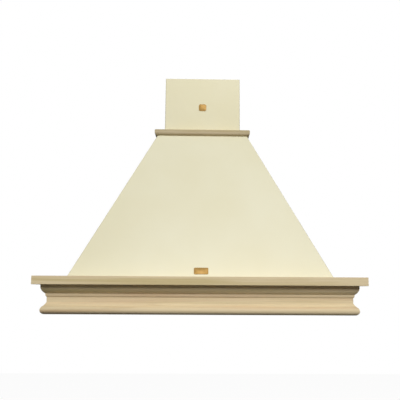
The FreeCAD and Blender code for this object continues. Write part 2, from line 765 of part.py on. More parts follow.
def chimney_cover():
    """The fixed painted cover, with an inward flange that stands on the canopy."""
    front = -CHIMNEY_DEPTH
    walls = channel(
        CHIMNEY_WIDTH, front, 0, CANOPY_TOP, CHIMNEY_TOP, SHEET, CHIMNEY_BEND, CHIMNEY_RETURN
    )
    half = CHIMNEY_WIDTH / 2
    flange = box(
        (SHEET - half, half - SHEET), (SHEET - CHIMNEY_DEPTH, -SHEET), (CANOPY_TOP, CANOPY_TOP + SHEET)
    )
    flange_hole = half - CHIMNEY_FOOT_FLANGE
    flange = flange.cut(
        box(
            (-flange_hole, flange_hole),
            (CHIMNEY_FOOT_FLANGE - CHIMNEY_DEPTH, PAST),
            (CANOPY_TOP - PAST, CANOPY_TOP + PAST),
        )
    )
    return drilled(joined([walls, flange]), chimney_screw_seats(), -Z_AXIS, METAL_SCREW_DEPTH)


def extension_half_width():
    return CHIMNEY_WIDTH / 2 - SHEET - EXTENSION_GAP


def bracket_z():
    """Half way up the wall bracket, near the top of the sliding section."""
    return CANOPY_TOP + SHEET + EXTENSION_HEIGHT - BRACKET_BELOW_TOP - BRACKET_HEIGHT / 2


def bracket_screw_seats(side):
    """The screw inside one of the bracket's ears."""
    x = extension_half_width() - EXTENSION_SHEET - BRACKET_SHEET
    return [Vector(side * x, bracket_rear() - BRACKET_SHEET - BRACKET_EAR / 2, bracket_z())]


def bracket_rear():
    """The plane where the bracket lies against the sliding section's returns."""
    return -SHEET - EXTENSION_GAP - EXTENSION_SHEET


def chimney_extension():
    """The section that slides up inside the cover and stands on its flange when it is down."""
    rear = -SHEET - EXTENSION_GAP
    foot = CANOPY_TOP + SHEET
    section = channel(
        2 * extension_half_width(),
        SHEET + EXTENSION_GAP - CHIMNEY_DEPTH,
        rear,
        foot,
        foot + EXTENSION_HEIGHT,
        EXTENSION_SHEET,
        CHIMNEY_BEND - EXTENSION_GAP,
        EXTENSION_RETURN,
    )
    for side in (-1, 1):
        section = drilled(section, bracket_screw_seats(side), X_AXIS * side, METAL_SCREW_DEPTH)
    return section


def chimney_bracket():
    """A strap across the sliding section, with ears at its ends and two bosses to the wall."""
    half = extension_half_width() - EXTENSION_SHEET
    rear = bracket_rear()
    heights = (bracket_z() - BRACKET_HEIGHT / 2, bracket_z() + BRACKET_HEIGHT / 2)
    pieces = [box((-half, half), (rear - BRACKET_SHEET, rear), heights)]
    for side in (-1, 1):
        x = sorted((side * half, side * (half - BRACKET_SHEET)))
        pieces.append(box(x, (rear - BRACKET_SHEET - BRACKET_EAR, rear), heights))
        centre = Vector(side * BRACKET_HOLE_SPACING / 2, 0, bracket_z())
        pieces.append(hex_bar(BRACKET_BOSS_RADIUS, centre, centre + Y_AXIS * (rear - BRACKET_SHEET)))
    bracket = joined(pieces)
    for side in (-1, 1):
        centre = Vector(side * BRACKET_HOLE_SPACING / 2, 0, bracket_z())
        bracket = bracket.cut(rod(BRACKET_HOLE_RADIUS, centre + Y_AXIS * PAST, centre - Y_AXIS * BRACKET_EAR))
        bracket = drilled(bracket, bracket_screw_seats(side), X_AXIS * side, METAL_SCREW_DEPTH)
    return bracket


def bracket_screws():
    """Screws through the ears, flush with the outside of the sliding section."""
    made = []
    for side in (-1, 1):
        grip = BRACKET_SHEET + EXTENSION_SHEET
        made += screws(bracket_screw_seats(side), X_AXIS * side, grip)
    return made


def chimney_badge():
    """The plain brass badge on the chimney's front."""
    badge = rounded_plate(BADGE_WIDTH, BADGE_HEIGHT, BADGE_THICKNESS, BADGE_CORNER)
    badge.translate(Vector(0, -CHIMNEY_DEPTH, CANOPY_TOP + BADGE_RISE))
    return badge


# ---------------------------------------------------------------- bottom panel and filters


def filter_sides():
    """The right-hand filter's outside: (x low, x high), (y low, y high)."""
    x = (FILTER_BAR / 2 + FILTER_GAP, FILTER_BAR / 2 + FILTER_OPENING - FILTER_GAP)
    y = (FILTER_GAP - FILTER_FRONT, -FILTER_REAR - FILTER_GAP)
    return x, y


def bottom_panel():
    """A tray behind the moulding, hung from the shelf by its rim, with two filter openings."""
    half = PANEL_HALF_WIDTH
    rear = -BACK_SHEET
    top = (MOULDING_HEIGHT - SHEET, MOULDING_HEIGHT)
    tray = box((-half, half), (-PANEL_DEPTH, rear), (PANEL_RISE, MOULDING_HEIGHT))
    inside = (SHEET - half, half - SHEET), (SHEET - PANEL_DEPTH, rear - SHEET)
    tray = tray.cut(box(*inside, (PANEL_TOP, MOULDING_HEIGHT + PAST)))
    rim = box((-half, half), (-PANEL_DEPTH, rear), top)
    inner = half - PANEL_RIM
    rim = rim.cut(box((-inner, inner), (PANEL_RIM - PANEL_DEPTH, PAST), (0, SHELF_TOP)))
    through = (PANEL_RISE - PAST, PANEL_TOP + PAST)
    holes = []
    for side in (-1, 1):
        x = sorted((side * FILTER_BAR / 2, side * (FILTER_BAR / 2 + FILTER_OPENING)))
        holes.append(box(x, (-FILTER_FRONT, -FILTER_REAR), through))
        holes.append(strip_box(LAMP_HOLE_WIDTH, LAMP_HOLE_DEPTH, *through, side * LAMP_SPREAD))
    holes.append(strip_box(CONTROL_CUTOUT_WIDTH, CONTROL_CUTOUT_DEPTH, *through))
    tray = drilled(joined([tray, rim]).cut(holes), panel_screw_seats(), Z_AXIS, METAL_SCREW_DEPTH)
    return riveted(tray, panel_rivets())


def filter_frame():
    """The right-hand filter's frame: lips round a tray, a grid below, two rear tabs and a pull strap."""
    x, y = filter_sides()
    z = (PANEL_RISE, PANEL_RISE + FILTER_THICKNESS)
    hollow = box(
        (x[0] + FILTER_SHEET, x[1] - FILTER_SHEET),
        (y[0] + FILTER_SHEET, y[1] - FILTER_SHEET),
        (z[0] + FILTER_SHEET, z[1] - FILTER_SHEET),
    )
    window_x = (x[0] + FILTER_LIP, x[1] - FILTER_LIP)
    window_y = (y[0] + FILTER_LIP, y[1] - FILTER_LIP)
    window = box(window_x, window_y, (z[0] - PAST, z[1] + PAST))
    pieces = [box(x, y, z).cut([hollow, window])]
    face = (z[0], z[0] + FILTER_SHEET)
    for middle in spread(*window_x, FILTER_GRID_BARS + 2)[1:-1]:
        bar = (middle - FILTER_GRID_WIDTH / 2, middle + FILTER_GRID_WIDTH / 2)
        pieces.append(box(bar, window_y, face))
    for middle in spread(*window_y, FILTER_GRID_BARS + 2)[1:-1]:
        bar = (middle - FILTER_GRID_WIDTH / 2, middle + FILTER_GRID_WIDTH / 2)
        pieces.append(box(window_x, bar, face))
    for middle in (x[0] + TAB_INSET, x[1] - TAB_INSET):
        width = (middle - TAB_WIDTH / 2, middle + TAB_WIDTH / 2)
        length = (y[1] - FILTER_SHEET, TAB_LENGTH - FILTER_REAR)
        pieces.append(box(width, length, (PANEL_TOP, PANEL_TOP + TAB_THICKNESS)))
        width = (middle - CLIP_WIDTH / 2, middle + CLIP_WIDTH / 2)
        length = (CLIP_GAP - FILTER_FRONT, y[0])
        pieces.append(box(width, length, (z[0], z[0] + CLIP_HEIGHT)))
    pivot = ring_pivot()
    reach = X_AXIS * (RING_CLIP_LENGTH / 2)
    wall = RING_PIVOT_RADIUS + RUNNING_GAP + RING_CLIP_WALL
    length = (pivot.x - reach.x, pivot.x + reach.x)
    pieces.append(box(length, (pivot.y - wall, pivot.y + wall), (pivot.z - wall, z[0])))
    bore = rod(RING_PIVOT_RADIUS + RUNNING_GAP, pivot - reach * 2, pivot + reach * 2)
    return joined(pieces).cut(bore)


def filter_mesh():
    """The right-hand filter's pleated mesh pack."""
    x, y = filter_sides()
    low = PANEL_RISE + FILTER_SHEET
    high = PANEL_RISE + FILTER_THICKNESS - FILTER_SHEET - PLEAT_SHEET
    along = spread(y[0] + FILTER_SHEET, y[1] - FILTER_SHEET, 2 * FILTER_PLEATS + 1)
    under = [(place, high if i % 2 else low) for i, place in enumerate(along)]
    over = [(place, z + PLEAT_SHEET) for place, z in reversed(under)]
    start = x[0] + FILTER_SHEET
    outline = [Vector(start, place, z) for place, z in under + over]
    return prism(outline, Vector(x[1] - FILTER_SHEET - start, 0, 0))


def ring_pivot():
    """The middle of the right-hand pull ring's pivot, under the filter's front lip."""
    x, y = filter_sides()
    drop = RING_PIVOT_RADIUS + RUNNING_GAP + RING_CLIP_WALL
    return Vector((x[0] + x[1]) / 2, y[0] + FILTER_LIP / 2, PANEL_RISE - drop)


def pull_ring():
    """The right-hand filter's pull: a flat loop that hangs from a round pivot bar."""
    pivot = ring_pivot()
    reach = X_AXIS * (RING_WIDTH / 2 - RING_BAR)
    pieces = [rod(RING_PIVOT_RADIUS, pivot - reach, pivot + reach)]
    thick = (pivot.y - RING_PIVOT_RADIUS, pivot.y + RING_PIVOT_RADIUS)
    low = pivot.z - RING_DROP
    for side in (-1, 1):
        x = sorted((pivot.x + side * RING_WIDTH / 2, pivot.x + side * (RING_WIDTH / 2 - RING_BAR)))
        pieces.append(box(x, thick, (low, pivot.z + RING_PIVOT_RADIUS)))
    x = (pivot.x - RING_WIDTH / 2, pivot.x + RING_WIDTH / 2)
    pieces.append(box(x, thick, (low - RING_BAR, low)))
    return joined(pieces)


# ---------------------------------------------------------------- lamps and controls


def strip_box(width, depth, low, high, x=0.0):
    """A box centred on the front strip of the bottom panel."""
    return box(
        (x - width / 2, x + width / 2), (-STRIP_CENTRE - depth / 2, depth / 2 - STRIP_CENTRE), (low, high)
    )


def lamp_box(lap, low, high):
    """A block over the right-hand lamp's hole in the panel, larger than it by a lap all round."""
    return strip_box(LAMP_HOLE_WIDTH + 2 * lap, LAMP_HOLE_DEPTH + 2 * lap, low, high, LAMP_SPREAD)


def lamp_parts():
    """The right-hand lamp: bezel, lens, can and candle bulb."""
    low = PANEL_RISE - LAMP_BEZEL_THICKNESS
    bezel = lamp_box(LAMP_BEZEL_LAP, low, PANEL_RISE)
    corners = [e for e in bezel.Edges if e.BoundBox.ZLength > LAMP_BEZEL_THICKNESS / 2]
    bezel = bezel.makeFillet(LAMP_BEZEL_CORNER, corners)
    bezel = bezel.cut(lamp_box(LAMP_BEZEL_LAP - LAMP_BEZEL_RIM, low - PAST, PANEL_TOP))
    lens = lamp_box(-LAMP_FIT, PANEL_RISE, PANEL_RISE + LAMP_LENS_THICKNESS)
    top = PANEL_TOP + LAMP_CAN_HEIGHT
    can = lamp_box(LAMP_CAN_LAP, PANEL_TOP, top)
    can = can.cut(lamp_box(LAMP_CAN_LAP - LAMP_CAN_SHEET, PANEL_RISE, top - LAMP_CAN_SHEET))
    socket = LAMP_SPREAD - LAMP_HOLE_WIDTH / 2 - LAMP_CAN_LAP + LAMP_CAN_SHEET
    start = Vector(socket, -STRIP_CENTRE, (PANEL_TOP + top) / 2)
    return bezel, lens, can, sided_bar(BULB_SIDES, BULB_RADIUS, start, start + X_AXIS * BULB_LENGTH)


def slot_span(rest, travel, width):
    """How far a slider's slot reaches along X."""
    clear = width / 2 + SLIDER_GAP
    return rest - clear, rest + travel + clear


def control_plate():
    """The plate that frames the two sliders, under the panel's cut-out."""
    plate = strip_box(CONTROL_WIDTH, CONTROL_DEPTH, PANEL_RISE - CONTROL_THICKNESS, PANEL_RISE)
    corners = [e for e in plate.Edges if e.BoundBox.ZLength > CONTROL_THICKNESS / 2]
    plate = plate.makeFillet(CONTROL_CORNER, corners)
    depth = SLIDER_STEM_DEPTH / 2 + SLIDER_GAP
    slots = []
    for rest, travel in ((SPEED_REST, SPEED_TRAVEL), (LIGHT_REST, LIGHT_TRAVEL)):
        x = slot_span(rest, travel, SLIDER_STEM_WIDTH)
        slots.append(box(x, (-STRIP_CENTRE - depth, depth - STRIP_CENTRE), (0, PANEL_TOP)))
    return plate.cut(slots)


def switch_housing():
    """The switch block above the panel, with a pocket for each slider's shoe and stem."""
    block = strip_box(SWITCH_WIDTH, SWITCH_DEPTH, PANEL_TOP, PANEL_TOP + SWITCH_HEIGHT)
    top = PANEL_RISE + SLIDER_RISE + SLIDER_GAP
    depth = SLIDER_SHOE / 2 + SLIDER_GAP
    pockets = []
    for rest, travel in ((SPEED_REST, SPEED_TRAVEL), (LIGHT_REST, LIGHT_TRAVEL)):
        x = slot_span(rest, travel, SLIDER_SHOE)
        pockets.append(box(x, (-STRIP_CENTRE - depth, depth - STRIP_CENTRE), (PANEL_RISE, top)))
    return block.cut(pockets)


def slider(rest):
    """A control slider: a finger cap under the plate, a stem through its slot and a shoe above."""
    foot = PANEL_RISE - CONTROL_THICKNESS - SLIDER_GAP
    cap = strip_box(SLIDER_CAP_WIDTH, SLIDER_CAP_DEPTH, foot - SLIDER_CAP_HEIGHT, foot, rest)
    rims = [e for e in cap.Edges if e.BoundBox.ZMax < foot - SLIDER_CAP_HEIGHT / 2]
    cap = cap.makeChamfer(SLIDER_CHAMFER, rims)
    stem = strip_box(SLIDER_STEM_WIDTH, SLIDER_STEM_DEPTH, foot, PANEL_RISE + SLIDER_RISE, rest)
    low = PANEL_RISE + GLUE_GAP
    shoe = strip_box(SLIDER_SHOE, SLIDER_SHOE, low, low + SLIDER_SHOE_HEIGHT, rest)
    return joined([cap, stem, shoe])


# ---------------------------------------------------------------- fan


def volute_profile(grow, top):
    """The scroll's outline round the fan's axis: quarter arcs that tighten towards the tongue."""
    half = VOLUTE_HALF_STEP
    radii = [VOLUTE_RADIUS + grow - i * VOLUTE_STEP for i in range(4)]
    neck = TONGUE_REACH - grow
    tongue = half + math.sqrt(radii[3] ** 2 - (neck + half) ** 2)
    return [
        (half + radii[0], top),
        (neck, top),
        (neck, tongue),
        (-half, half + radii[3], radii[3]),
        (-half - radii[2], -half, radii[2]),
        (half, -half - radii[1], radii[1]),
        (half + radii[0], half, radii[0]),
    ]


def volute_block(grow, x, past_top=0.0):
    """A slab with the scroll's outline, between two values of X."""
    face = section(volute_profile(grow, FAN_DROP + past_top))
    face.translate(Vector(x[0], FAN_Y, FAN_Z))
    return face.extrude(Vector(x[1] - x[0], 0, 0))


def seam_screw_seats():
    """Screws through the seam's lugs, at the ends of the scroll's quarter arcs."""
    seats = []
    for y, z, _ in volute_profile(SCROLL_WALL + SEAM_LUG / 2, FAN_DROP)[3:]:
        seats.append(Vector(SEAM_THICKNESS, FAN_Y + y, FAN_Z + z))
    return seats


def seam_lugs():
    """Square lugs that carry those screws, from the scroll's wall outwards."""
    half = SEAM_LUG / 2 + SCROLL_WALL
    lugs = []
    for seat in seam_screw_seats():
        span = (seat.y - half, seat.y + half), (seat.z - half, seat.z + half)
        lugs.append(box((0, SEAM_THICKNESS), *span))
    return lugs


def neck_span(beyond):
    """How far the outlet neck reaches along Y, with a margin on each side."""
    return -DUCT_DEPTH - OUTLET_HALF_DEPTH - beyond, OUTLET_HALF_DEPTH + beyond - DUCT_DEPTH


def fan_screw_seats():
    """Screws down through the spigot's flange, the support and the scroll's neck flange."""
    x = SCROLL_HALF_WIDTH + NECK_FLANGE / 2
    z = SUPPORT_TOP + ADAPTER_FLANGE
    return [Vector(side * x, y, z) for side in (-1, 1) for y in neck_span(-FAN_SCREW_INSET)]


def motor_arm_seats():
    """Screws through the ends of the motor bracket's arms into the scroll's side."""
    seats = []
    for i in range(MOTOR_ARMS):
        angle = math.radians(FULL_TURN / 4 + FULL_TURN * i / MOTOR_ARMS)
        across = ARM_SCREW_RADIUS * math.cos(angle)
        up = ARM_SCREW_RADIUS * math.sin(angle)
        seats.append(Vector(SCROLL_HALF_WIDTH + MOTOR_PLATE_SHEET, FAN_Y + across, FAN_Z + up))
    return seats


def scroll_half():
    """The right-hand half of the scroll: side plate, wrap, flanges and the inlet's funnel."""
    side = SCROLL_HALF_WIDTH
    depth = neck_span(NECK_FLANGE)
    flange = (SUPPORT_RISE - NECK_FLANGE_THICKNESS, SUPPORT_RISE)
    mouth = INLET_RADIUS + FUNNEL_DEPTH
    throat = side - FUNNEL_DEPTH
    funnel = turned(
        [
            (side, mouth),
            (throat, INLET_RADIUS),
            (throat, INLET_RADIUS + SCROLL_WALL),
            (side - SCROLL_WALL, mouth),
        ],
        Vector(0, FAN_Y, FAN_Z),
        X_AXIS,
    )
    hole = rod(mouth, Vector(throat, FAN_Y, FAN_Z), Vector(side + PAST, FAN_Y, FAN_Z))
    half = joined([
        volute_block(SCROLL_WALL, (0, side)),
        box((0, side + NECK_FLANGE), depth, flange),
    ] + seam_lugs())
    half = half.cut([volute_block(0, (-PAST, side - SCROLL_WALL), PAST), hole])
    half = drilled(joined([half, funnel]), fan_screw_seats(), -Z_AXIS, FAN_SCREW_DEPTH)
    return drilled(half, seam_screw_seats(), -X_AXIS, 2 * SEAM_THICKNESS)


def scroll_right():
    """The half that carries the motor bracket."""
    return drilled(scroll_half(), motor_arm_seats(), -X_AXIS, METAL_SCREW_DEPTH)


def blade():
    """One forward-curved blade of flats, across the whole width of the impeller."""
    run = IMPELLER_RADIUS - IMPELLER_INNER_RADIUS - 2 * BLADE_INSET
    root = IMPELLER_INNER_RADIUS + BLADE_INSET
    curve = []
    for i in range(BLADE_FLATS + 1):
        angle = math.radians(BLADE_TURN * i / BLADE_FLATS)
        curve.append((root + run * math.sin(angle) / math.sin(math.radians(BLADE_TURN)),
                      run * (1 - math.cos(angle)) / math.sin(math.radians(BLADE_TURN))))
    outline = curve + [(out, across + BLADE_SHEET) for out, across in reversed(curve)]
    corners = [Vector(-IMPELLER_HALF_WIDTH, out, across) for out, across in outline]
    return prism(corners, X_AXIS * (2 * IMPELLER_HALF_WIDTH))


def impeller():
    """A double-inlet wheel: blades on a middle disc, end rings and a hub on the shaft."""
    pieces = [
        sided_bar(WHEEL_SIDES, DISC_RADIUS, -X_AXIS * (IMPELLER_DISC / 2), X_AXIS * (IMPELLER_DISC / 2)),
        sided_bar(WHEEL_SIDES, HUB_RADIUS, -X_AXIS * HUB_FRONT, X_AXIS * HUB_BACK),
    ]
    for end in (-IMPELLER_HALF_WIDTH, IMPELLER_HALF_WIDTH - IMPELLER_RING):
        ends = X_AXIS * end, X_AXIS * (end + IMPELLER_RING)
        outer = sided_bar(WHEEL_SIDES, IMPELLER_RADIUS, *ends)
        pieces.append(outer.cut(sided_bar(WHEEL_SIDES, IMPELLER_INNER_RADIUS, *ends)))
    for i in range(BLADES):
        one = blade()
        one.rotate(ORIGIN, X_AXIS, FULL_TURN * i / BLADES)
        pieces.append(one)
    bore = rod(SHAFT_RADIUS + RUNNING_GAP, Vector(-HUB_FRONT - PAST, 0, 0), Vector(HUB_BACK + PAST, 0, 0))
    wheel = joined(pieces).cut(bore)
    wheel.translate(Vector(0, FAN_Y, FAN_Z))
    return wheel


def motor_shaft():
    start = Vector(-HUB_FRONT, FAN_Y, FAN_Z)
    return rod(SHAFT_RADIUS, start, Vector(motor_front() + SHAFT_TAIL, FAN_Y, FAN_Z))


def motor_front():
    """The motor's inner end: its other end lies on the bracket, level with the scroll's side."""
    return SCROLL_HALF_WIDTH - MOTOR_LENGTH


def motor_screw_seats():
    """Screws through the bracket's middle into the motor."""
    seats = []
    for i in range(MOTOR_ARMS):
        angle = math.radians(FULL_TURN / 4 + FULL_TURN * i / MOTOR_ARMS)
        across = MOTOR_SCREW_RADIUS * math.cos(angle)
        up = MOTOR_SCREW_RADIUS * math.sin(angle)
        seats.append(Vector(SCROLL_HALF_WIDTH + MOTOR_PLATE_SHEET, FAN_Y + across, FAN_Z + up))
    return seats


def motor():
    """The motor in the right-hand inlet, bored for the shaft."""
    front = motor_front()
    back = SCROLL_HALF_WIDTH
    body = sided_bar(MOTOR_SIDES, MOTOR_RADIUS, Vector(front, FAN_Y, FAN_Z), Vector(back, FAN_Y, FAN_Z))
    end = front + SHAFT_TAIL + PAST
    bore = rod(SHAFT_RADIUS + RUNNING_GAP, Vector(front - PAST, FAN_Y, FAN_Z), Vector(end, FAN_Y, FAN_Z))
    return drilled(body.cut(bore), motor_screw_seats(), -X_AXIS, METAL_SCREW_DEPTH)


def motor_bracket():
    """A plate with three arms that holds the motor in the inlet."""
    start = Vector(SCROLL_HALF_WIDTH, 0, 0)
    pieces = [rod(MOTOR_PLATE_RADIUS, start, start + X_AXIS * MOTOR_PLATE_SHEET)]
    for i in range(MOTOR_ARMS):
        arm = box(
            (SCROLL_HALF_WIDTH, SCROLL_HALF_WIDTH + MOTOR_PLATE_SHEET),
            (0, MOTOR_ARM_REACH),
            (-MOTOR_ARM_WIDTH / 2, MOTOR_ARM_WIDTH / 2),
        )
        arm.rotate(ORIGIN, X_AXIS, FULL_TURN / 4 + FULL_TURN * i / MOTOR_ARMS)
        pieces.append(arm)
    bracket = joined(pieces)
    bracket.translate(Vector(0, FAN_Y, FAN_Z))
    bracket = drilled(bracket, motor_arm_seats(), -X_AXIS, METAL_SCREW_DEPTH)
    return drilled(bracket, motor_screw_seats(), -X_AXIS, METAL_SCREW_DEPTH)


def fan_support():
    """The shelf that the fan hangs from: a plate with a rear flange and two gussets."""
    half = SUPPORT_WIDTH / 2
    rear = -BACK_SHEET
    top = SUPPORT_RISE + GUSSET_HEIGHT
    pieces = [
        box((-half, half), (-SUPPORT_DEPTH, rear), (SUPPORT_RISE, SUPPORT_TOP)),
        box((-half, half), (rear - SUPPORT_SHEET, rear), (SUPPORT_RISE, top)),
    ]
    outline = [(-SUPPORT_DEPTH, SUPPORT_RISE), (rear, SUPPORT_RISE), (rear, top)]
    for x in (-half, half - SUPPORT_SHEET):
        pieces.append(prism([Vector(x, y, z) for y, z in outline], X_AXIS * SUPPORT_SHEET))
    outlet = box(
        (-OUTLET_HALF_WIDTH, OUTLET_HALF_WIDTH), neck_span(0), (SUPPORT_RISE - PAST, SUPPORT_TOP + PAST)
    )
    support = drilled(joined(pieces).cut(outlet), fan_screw_seats(), -Z_AXIS, FAN_SCREW_DEPTH)
    return riveted(support, support_rivets())


# ---------------------------------------------------------------- outlet and damper


def outlet_adapter():
    """The flanged round spigot, with lugs that the damper's flaps close on."""
    foot = Vector(0, -DUCT_DEPTH, SUPPORT_TOP)
    rise = SPIGOT_TOP - SUPPORT_TOP
    half = SCROLL_HALF_WIDTH + NECK_FLANGE
    flange = box((-half, half), neck_span(NECK_FLANGE), (SUPPORT_TOP, SUPPORT_TOP + ADAPTER_FLANGE))
    body = joined([flange, rod(SPIGOT_RADIUS, foot, foot + Z_AXIS * rise)])
    body = body.cut(rod(SPIGOT_BORE, foot - Z_AXIS * PAST, foot + Z_AXIS * (rise + PAST)))
    lug_top = DAMPER_RISE - DAMPER_SHEET / 2
    lugs = []
    for side in (-1, 1):
        reach = (side * (SPIGOT_BORE - DAMPER_LUG), side * (SPIGOT_BORE + SPIGOT_WALL / 2))
        y = sorted(-DUCT_DEPTH + across for across in reach)
        lugs.append(box((-DAMPER_LUG, DAMPER_LUG), y, (lug_top - DAMPER_LUG, lug_top)))
    body = joined([body] + lugs)
    seats = drilled(body, fan_screw_seats(), -Z_AXIS, FAN_SCREW_DEPTH)
    return seats.cut(rod(DAMPER_PIN_RADIUS + RUNNING_GAP, *damper_axis(SPIGOT_RADIUS + PAST)))


def damper_axis(reach):
    """The two ends of a run along the damper's pin."""
    return Vector(-reach, -DUCT_DEPTH, DAMPER_RISE), Vector(reach, -DUCT_DEPTH, DAMPER_RISE)


def damper_flap(side, knuckles):
    """Half a disc on its knuckles, towards the wall for side 1 and to the front for side -1."""
    disc_low = Vector(0, -DUCT_DEPTH, DAMPER_RISE - DAMPER_SHEET / 2)
    disc = rod(SPIGOT_BORE - DAMPER_GAP, disc_low, disc_low + Z_AXIS * DAMPER_SHEET)
    z = (DAMPER_RISE - DAMPER_KNUCKLE_RADIUS, DAMPER_RISE + DAMPER_KNUCKLE_RADIUS)
    reach = SPIGOT_RADIUS
    blade_y = sorted((side * DAMPER_ROOT - DUCT_DEPTH, side * reach - DUCT_DEPTH))
    web_y = sorted((-DUCT_DEPTH, side * reach - DUCT_DEPTH))
    pieces = [disc.common(box((-reach, reach), blade_y, z))]
    for x in knuckles:
        pieces.append(disc.common(box(x, web_y, z)))
        start = Vector(x[0], -DUCT_DEPTH, DAMPER_RISE)
        pieces.append(hex_bar(DAMPER_KNUCKLE_RADIUS, start, Vector(x[1], -DUCT_DEPTH, DAMPER_RISE)))
    return joined(pieces).cut(rod(DAMPER_PIN_RADIUS + RUNNING_GAP, *damper_axis(reach)))


def damper_flaps():
    """The rear flap on two outer knuckles, and the front flap on one between them."""
    inner = DAMPER_KNUCKLE_SPLIT - DAMPER_KNUCKLE_GAP / 2
    outer = (DAMPER_KNUCKLE_SPLIT + DAMPER_KNUCKLE_GAP / 2, SPIGOT_BORE - DAMPER_ROOT)
    rear = damper_flap(1, [outer, (-outer[1], -outer[0])])
    return rear, damper_flap(-1, [(-inner, inner)])


# ---------------------------------------------------------------- electrical parts


def terminal_box():
    """A cover over the wiring on the back panel, with two ears and a hole for the cable gland."""
    half = TERMINAL_BOX_WIDTH / 2
    wall = TERMINAL_BOX_WALL
    rear = -BACK_SHEET
    x = (TERMINAL_BOX_X - half, TERMINAL_BOX_X + half)
    y = (rear - TERMINAL_BOX_DEPTH, rear)
    z = (TERMINAL_BOX_RISE, TERMINAL_BOX_RISE + TERMINAL_BOX_HEIGHT)
    cover = box(x, y, z)
    middle = (z[0] + z[1]) / 2
    ear_z = (middle - TERMINAL_BOX_EAR_HEIGHT / 2, middle + TERMINAL_BOX_EAR_HEIGHT / 2)
    ears = box((x[0] - TERMINAL_BOX_EAR, x[1] + TERMINAL_BOX_EAR), (rear - wall, rear), ear_z)
    inside = box((x[0] + wall, x[1] - wall), (y[0] + wall, PAST), (z[0] + wall, z[1] - wall))
    gland = gland_foot()
    hole = hex_bar(GLAND_THREAD_RADIUS + SCREW_GAP, gland - Z_AXIS * PAST, gland + Z_AXIS * (wall + PAST))
    return riveted(joined([cover, ears]).cut([inside, hole]), terminal_rivets())


def gland_foot():
    """Where the gland's axis, beside the fan support, meets the inside of the box's top wall."""
    z = TERMINAL_BOX_RISE + TERMINAL_BOX_HEIGHT - TERMINAL_BOX_WALL
    return Vector(GLAND_X, -BACK_SHEET - TERMINAL_BOX_DEPTH / 2, z)


def cable_gland():
    """The gland in the box's top: a collar above the wall, a nut below it and a bore for the cable."""
    foot = gland_foot()
    wall = foot + Z_AXIS * TERMINAL_BOX_WALL
    top = wall + Z_AXIS * GLAND_REACH
    nut = foot - Z_AXIS * GLAND_NUT
    gland = joined([
        hex_bar(GLAND_RADIUS, wall, top),
        hex_bar(GLAND_THREAD_RADIUS, nut, wall),
        hex_bar(GLAND_RADIUS, nut, foot),
    ])
    return gland.cut(rod(GLAND_BORE, nut - Z_AXIS * PAST, top + Z_AXIS * PAST))


def capacitor():
    """The motor's capacitor, upright in the box beside the back panel."""
    x = TERMINAL_BOX_X - CAPACITOR_OFFSET
    y = -BACK_SHEET - CAPACITOR_RADIUS - CAPACITOR_GAP
    low = Vector(x, y, TERMINAL_BOX_RISE + TERMINAL_BOX_WALL)
    return sided_bar(CAPACITOR_SIDES, CAPACITOR_RADIUS, low, low + Z_AXIS * CAPACITOR_LENGTH)


def terminal_block():
    """The terminal strip, upright on the back panel inside the box."""
    x = TERMINAL_BOX_X + CAPACITOR_OFFSET
    low = TERMINAL_BOX_RISE + TERMINAL_BOX_WALL
    block = box(
        (x - BLOCK_WIDTH / 2, x + BLOCK_WIDTH / 2),
        (-BACK_SHEET - BLOCK_DEPTH, -BACK_SHEET),
        (low, low + BLOCK_LENGTH),
    )
    grooves = []
    pitch = BLOCK_LENGTH / BLOCK_POLES
    for i in range(1, BLOCK_POLES):
        z = low + i * pitch
        front = (-BACK_SHEET - BLOCK_DEPTH - PAST, BLOCK_GROOVE_DEPTH - BACK_SHEET - BLOCK_DEPTH)
        height = (z - BLOCK_GROOVE_WIDTH / 2, z + BLOCK_GROOVE_WIDTH / 2)
        grooves.append(box((x - BLOCK_WIDTH, x + BLOCK_WIDTH), front, height))
    return block.cut(grooves)


# ---------------------------------------------------------------- sub-parts


